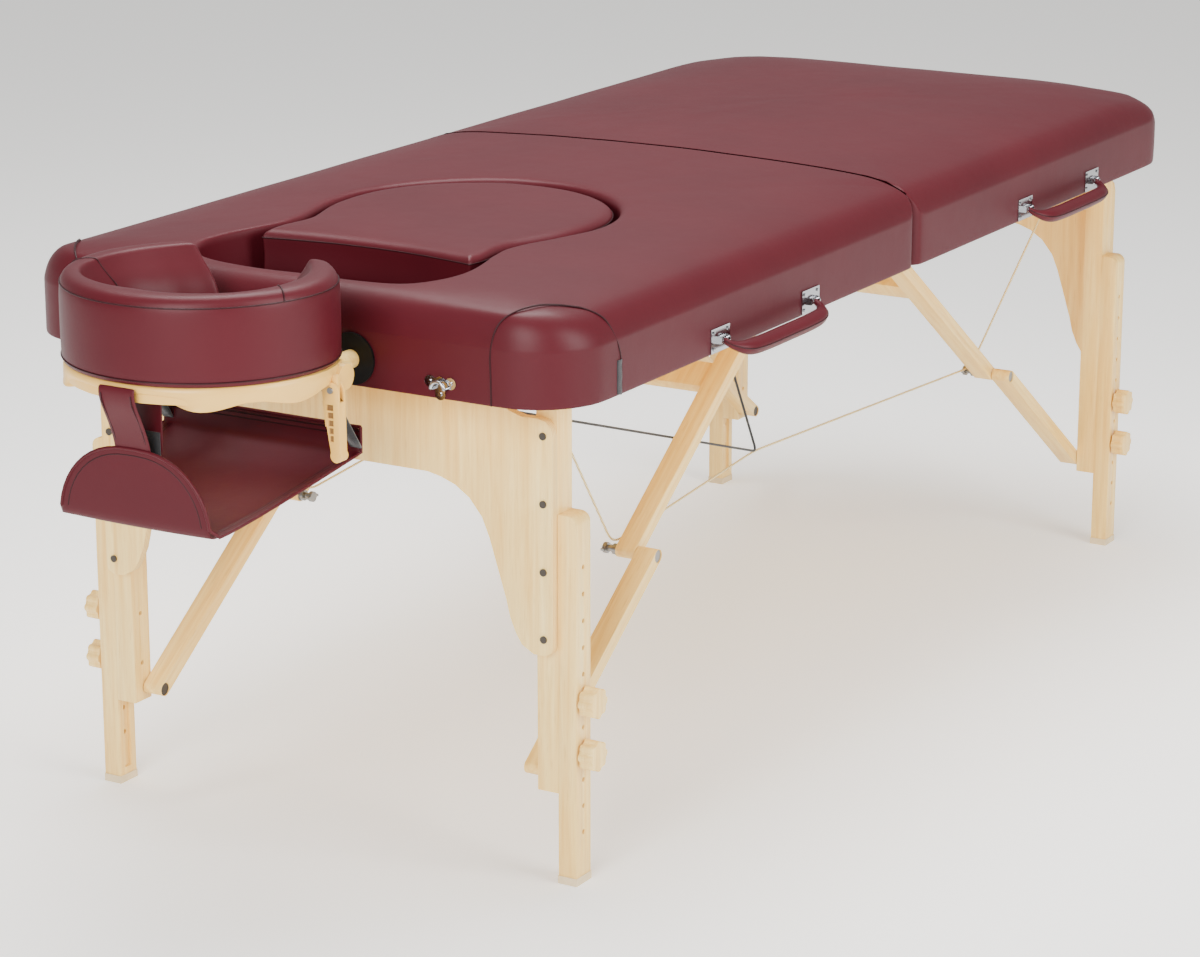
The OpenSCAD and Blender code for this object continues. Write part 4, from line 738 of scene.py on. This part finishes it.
tips = (1, 0.96, 0.85, 0.65, 0.4, 0.18)
steps_along = [-1 - v for v in tips] + [-1 + k / 26 for k in range(53)] + [1 + v for v in reversed(tips)]
cushion = shell("face_cushion_pad", len(SECTION) + 1, len(steps_along),
                lambda column, row: cushion_place(steps_along[row], column), burgundy, "cushion")
subdivided(cushion, 2)
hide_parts("face_cushion")
tip_steps = (1.15, 1.35, 1.6, 1.8, 1.9)
seam_steps = [-t for t in reversed(tip_steps)] + [k / 40 for k in range(-42, 43)] + list(tip_steps)
outer_seam = [cushion_place(t, EDGE_PART) for t in seam_steps]
lower_seam = [cushion_place(k / 40, LOWER_PART) for k in range(-40, 41)]
cross_seams = [[cushion_place(t, part) for part in range(EDGE_PART, INNER_PART)] for t in (-0.56, 0.54)]
seam = strands("face_cushion_seams", [outer_seam, lower_seam, *cross_seams], 0.9, burgundy_piping_painted_shade, "cushion")

# The platform under it is one moulding in cream ABS with a wavy lip round its front, which stiffens it and gives
# the fingers a hold. The cam lever beside it is moulded in the same ABS, with ribbed pockets.
LIP_MM, LIP_WAVE_MM, LIP_T = 12, 3.5, 3
# The waves' pace along the lip and where they start, and how much deeper they are at its left end.
WAVE_PACE, WAVE_START, WAVE_LEFT = 20, 0.9, 1.6
# The lip draws back behind the arm sling's strap, by distance along it.
LIP_RECESS = ((0, 24), (0.1, 24), (0.3, 0), (9, 0))
LIP_ENDS = 0.84
# The dowels lie this high over the rails' lower edge, and the platform's face this high over the dowels.
DOWEL_UP, PLATFORM_UP = 33, 13
PLATFORM_Z = FRAME_Z + DOWEL_UP + PLATFORM_UP
# The lip's section: how far in from the cushion's outline, and how high (positive) or what share of the drop.
LIP = ((9, 8.6), (3.4, 8.8), (1.2, 7.4), (0.4, 4), (0.3, 0), (0.2, -0.55), (0, -1), (-1.6, -1.12))


def lip_place(t, row):
    """A place on the lip: how far along the platform's front, and down which step of its section."""
    outer, inner = cushion_pair(t)
    inward = (inner - outer).normalized()
    d, z = LIP[row]
    wave = 0.5 + 0.5 * math.cos(t * WAVE_PACE + WAVE_START) * (1 if t > -0.55 else WAVE_LEFT)
    drop = LIP_MM - LIP_WAVE_MM + 2 * LIP_WAVE_MM * wave
    recess = eased(abs(t + 0.03), LIP_RECESS) if z < 0 else 0
    place = outer + inward * (d + 3.2 + 2.2 * (1 - wave) * max(-z, 0) + recess)
    return at(place.x, place.y, PLATFORM_Z + (z if z >= 0 else z * drop))


lip = shell("platform_lip", 121, len(LIP), lambda column, row: lip_place((column / 60 - 1) * LIP_ENDS, row),
            cream_abs, "platform")
thickened(lip, LIP_T)
subdivided(lip, 1)
for node, body, width in (("cam_lever", "lever", 1.4), ("cradle_platform", "platform", 1.2)):
    eased_copy(node, body, cream_abs, width)

# The lever's pockets, low on both its faces, are coloured brown as painted shade. A zinc-plated screw is its pivot.
POCKET_DEPTH, POCKET_TOP = 1.2, 18
SCREW_X, SCREW_DOWN, SCREW_R, SCREW_H = 160, 9.5, 4.2, 1.6
shade, tree, shader, place = textured("painted_shade_abs_pocket", {"Roughness": 0.6})
cloud = add(tree, "TexNoise", {"Scale": 300, "Detail": 2}, {"Vector": place})
tint(tree, shader, cloud.outputs["Fac"], "#6b4a22", "#86602c")
lever_low, lever_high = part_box("cam_lever")
lever_mesh = bpy.data.objects["cam_lever_eased"].data
lever_mesh.materials.append(shade)
# Faces sunk in the pockets take the brown painted shade.
for polygon in lever_mesh.polygons:
    x, y, z = polygon.center
    depth = min(y - lever_low[1], lever_high[1] - y)
    if abs(polygon.normal.y) > 0.9 and depth > POCKET_DEPTH * MM and z < lever_high[2] - POCKET_TOP * MM:
        polygon.material_index = 1
bm = bmesh.new()
for way, face in ((-1, lever_low[1]), (1, lever_high[1])):
    made = bmesh.ops.create_cone(bm, cap_ends=True, segments=24, radius1=SCREW_R * MM,
                                 radius2=(SCREW_R - 0.6) * MM, depth=SCREW_H * MM)["verts"]
    bmesh.ops.rotate(bm, verts=made, cent=(0, 0, 0), matrix=Matrix.Rotation(-way * RIGHT_ANGLE, 3, "X"))
    bmesh.ops.translate(bm, verts=made, vec=(at(SCREW_X, 0, 0).x, face + way * 0.6 * MM,
                                             lever_high[2] - SCREW_DOWN * MM))
screw = piece_from("lever_screw", bm, [zinc], "lever", smooth=False)

# The carry handles are straps of the same leather sewn round a soft core, thin at their ends where they fold over
# the pins of the chrome plates.
HANDLE_SPAN, HANDLE_REACH, GRIP_R, DROOP = 236, 27, 11, math.radians(30)
HANDLE_X, HANDLE_Z = HALF_W + 6, FRAME_Z + 17
HEAD_HANDLE_S, FOOT_HANDLE_S = 426, 467
# Half of the grip: share of the half span, share of the reach, and share of its radius.
GRIP = ((1, 0, 0.36), (1, 0.3, 0.42), (0.955, 0.55, 0.55), (0.87, 0.8, 0.78), (0.72, 0.95, 0.97), (0.4, 1, 1),
        (0, 1, 1))
grip_line = [*GRIP, *((-a, b, r) for a, b, r in reversed(GRIP[:-1]))]
grip_line = [tuple(p) for p in smooth_route(grip_line, 3)]


def grip_place(column, row, s, end):
    """A place on a grip, round it and along it from its closed end."""
    a, b, r = grip_line[min(max(row - 1, 0), len(grip_line) - 1)]
    u, v = grip_line[max(row - 2, 0)], grip_line[min(row, len(grip_line) - 1)]
    way = Vector(((v[0] - u[0]) * HANDLE_SPAN / 2, (v[1] - u[1]) * HANDLE_REACH)).normalized()
    turn = 2 * math.pi * column / 16
    size = 0 if row in (0, len(grip_line) + 1) else GRIP_R * r
    c, e = math.cos(turn), math.sin(turn)
    c = math.copysign(abs(c) ** 0.8, c)
    out = b * HANDLE_REACH - size * c * way.x
    along = a * HANDLE_SPAN / 2 + size * c * way.y
    up = size * e * 0.9
    cosine, sine = math.cos(DROOP), math.sin(DROOP)
    return at(HANDLE_X + out * cosine + up * sine, s + along, HANDLE_Z - out * sine + up * cosine, end)


for end_name, end, s in (("head", HEAD, HEAD_HANDLE_S), ("foot", FOOT, FOOT_HANDLE_S)):
    handle = "carry_handle_" + end_name
    grip = shell(handle + "_grip", 17, len(grip_line) + 2, lambda column, row: grip_place(column, row, s, end),
                 burgundy, handle)
    subdivided(grip, 1)
    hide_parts("handle_" + end_name)
    seam_line = [grip_place(1.3, row, s, end) for row in range(3, len(grip_line) - 1)]
    seam = strands(handle + "_seam", [seam_line], 0.7, burgundy_piping_painted_shade, handle)

# The arm sling is one sheet of leather with a bound and double-sewn edge. It hangs from the platform by a wide strap
# in front, where a D-shaped panel closes it, and by two narrow straps at the back.
SLING_DROP, SLING_T = 147, 2.4
SLING_Z = FRAME_Z + DOWEL_UP - SLING_DROP
SLING_RISE, BAND_H, PANEL_H = 48, 30, 90
FRONT_OUT, REAR_OUT, FRONT_X, REAR_X, SAG = 282, 38, 104, 140, 9
PANEL_STEPS, FLOOR_STEPS = 12, 25


def sling_rows():
    """The sheet's rows down the panel, along the floor and up the band: how far out, height, half width, sag."""
    rows = []
    for k in range(PANEL_STEPS):
        a = math.radians(90 * k / PANEL_STEPS)
        rows.append((FRONT_OUT, SLING_Z + PANEL_H * math.cos(a), FRONT_X * (0.06 + 0.94 * math.sin(a) ** 0.9), 0))
    for k in range(FLOOR_STEPS):
        t = k / (FLOOR_STEPS - 1)
        rows.append((FRONT_OUT + (REAR_OUT - FRONT_OUT) * t, SLING_Z + SLING_RISE * t,
                     FRONT_X + (REAR_X - FRONT_X) * t ** 0.6, SAG * math.sin(math.pi * t) ** 0.5))
    for k in (0.5, 1):
        rows.append((REAR_OUT, SLING_Z + SLING_RISE + BAND_H * k, REAR_X, 0))
    return rows


rows = sling_rows()


def sling_place(row, u):
    """A place on the sheet: which row, and how far across from -1 to 1."""
    out, z, half, sag = rows[row]
    return at(half * u, HALF_L + out, z - sag * (1 - u * u))


sling = shell("arm_sling_sheet", 25, len(rows), lambda column, row: sling_place(row, column / 12 - 1), burgundy,
              "platform")
thickened(sling, SLING_T)
subdivided(sling, 1)
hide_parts("arm_sling")

PANEL_ROWS, FLOOR_ROWS = range(PANEL_STEPS), range(PANEL_STEPS + 2, len(rows))
rim = [(row, 1) for row in range(len(rows)) if row != PANEL_STEPS]
binding = [[sling_place(row, -u) for row, u in reversed(rim)] + [sling_place(row, u) for row, u in rim]]
binding.append([sling_place(len(rows) - 1, k / 8) for k in range(-8, 9)])
binding = strands("arm_sling_binding", binding, 2.1, burgundy, "platform", sides=3)


def panel_hem(share):
    """A line across the front panel, drawn in from its edge."""
    line = []
    for row, u in [(row, -1) for row in reversed(PANEL_ROWS)] + [(row, 1) for row in PANEL_ROWS]:
        out, z, half, _ = rows[row]
        line.append(at(half * u * share, HALF_L + out, SLING_Z + 2 + (z - SLING_Z) * share))
    return line


hems = [panel_hem(0.9)]
for d in (9, 13):
    hems += [[sling_place(row, u * (1 - d / rows[row][2])) for row in FLOOR_ROWS] for u in (-1, 1)]
for d in (5, 11):
    hems.append([at(REAR_X * k / 8, HALF_L + REAR_OUT, SLING_Z + SLING_RISE + BAND_H - d) for k in range(-8, 9)])
hems = strands("arm_sling_stitching", hems, 1.5, burgundy_piping_painted_shade, "platform")

# The front strap goes up in front of the platform's lip and under the cushion, and its hook tape holds it on a flap
# behind.
STRAP_HALF_W, STITCH_X = 25, 20.5
strap_s = HALF_L + FRONT_OUT - 4
lip_s = CUSHION_S + 0.99 * CUSHION_R
loop = ((strap_s, SLING_Z + 62), (strap_s + 1.3, SLING_Z + 92), (lip_s - 12, PLATFORM_Z - 36),
        (lip_s + 1.2, PLATFORM_Z - 12), (lip_s + 2.6, PLATFORM_Z - 1), (lip_s + 2.4, CUSHION_Z - 6),
        (lip_s + 0.5, CUSHION_Z - 2))
back = ((strap_s - 18, PLATFORM_Z - 2), (strap_s - 20, PLATFORM_Z - 14), (strap_s - 20, SLING_Z + 74))
bm = bmesh.new()
for strip in (loop, back):
    shaped_grid(bm, 9, len(strip), lambda column, row: at((column / 4 - 1) * STRAP_HALF_W, *strip[row]))
bmesh.ops.recalc_face_normals(bm, faces=bm.faces)
strap = piece_from("arm_sling_front_strap", bm, [burgundy], "platform")
thickened(strap, SLING_T)
subdivided(strap, 2)
strap_stitches = [[at(side * STITCH_X, s + 1.5, z) for s, z in loop[1:5]] for side in (-1, 1)]
stitch = strands("arm_sling_strap_stitching", strap_stitches, 0.7, burgundy_piping_painted_shade, "platform")

TAPE_HALF_W, TAPE_T = 22, 1.4
hook_tape = shell("arm_sling_hook_tape", 5, 5, lambda column, row: at(
    (column / 2 - 1) * TAPE_HALF_W, strap_s - 18.4, SLING_Z + 77 + row * 7.5), elastic, "platform")
thickened(hook_tape, TAPE_T)

# The two rear straps are black webbing, from the rear band up to the underside of the platform.
REAR_STRAP_X, REAR_STRAP_W, REAR_STRAP_T = 127, 15, 2
low, high = (HALF_L + REAR_OUT, SLING_Z + SLING_RISE + 6), (HALF_L + 112, PLATFORM_Z - 0.4)
for side, name in SIDES:
    strap = shell("arm_sling_rear_strap_" + name, 3, 9, lambda column, row: at(
        side * (REAR_STRAP_X + REAR_STRAP_W * column / 2), low[0] + (high[0] - low[0]) * row / 8 + 1.5,
        low[1] + (high[1] - low[1]) * row / 8), elastic, "platform")
    thickened(strap, REAR_STRAP_T)

# The studio: a pale seamless floor, an even white surround, and three wide soft lights: one overhead, one in front
# and one to the right like a window.
FLOOR_SIZE = 40
paper, tree, shader = finish_of("studio_paper", {
    "Roughness": 1, "Base Color": linear("#f4f3f1"), "Specular IOR Level": 0, "Emission Color": linear("#fffdf9"),
    "Emission Strength": 0.45})
bm = bmesh.new()
bmesh.ops.create_grid(bm, x_segments=1, y_segments=1, size=FLOOR_SIZE)
mesh = bpy.data.meshes.new("floor")
bm.to_mesh(mesh)
bm.free()
mesh.materials.append(paper)
floor = bpy.data.objects.new("floor", mesh)
bpy.context.scene.collection.objects.link(floor)
world = bpy.data.worlds.new("studio")
bpy.context.scene.world = world
world.use_nodes = True
world.node_tree.nodes["Background"].inputs[0].default_value = linear("#ffffff")
world.node_tree.nodes["Background"].inputs[1].default_value = 0.5
LAMP_SIZE, LIT_PLACE = 2.2, Vector((0, 0, 0.5))
for name, where, power in (("overhead", (-0.3, 0.2, 3.2), 165), ("front", (0.9, -4.6, 2.3), 230),
                           ("window", (4.2, -0.6, 2.1), 200)):
    lamp = bpy.data.lights.new(name, "AREA")
    lamp.size = LAMP_SIZE
    lamp.energy = power
    light = bpy.data.objects.new(name, lamp)
    bpy.context.scene.collection.objects.link(light)
    light.location = where
    light.rotation_euler = (LIT_PLACE - Vector(where)).to_track_quat("-Z", "Y").to_euler()
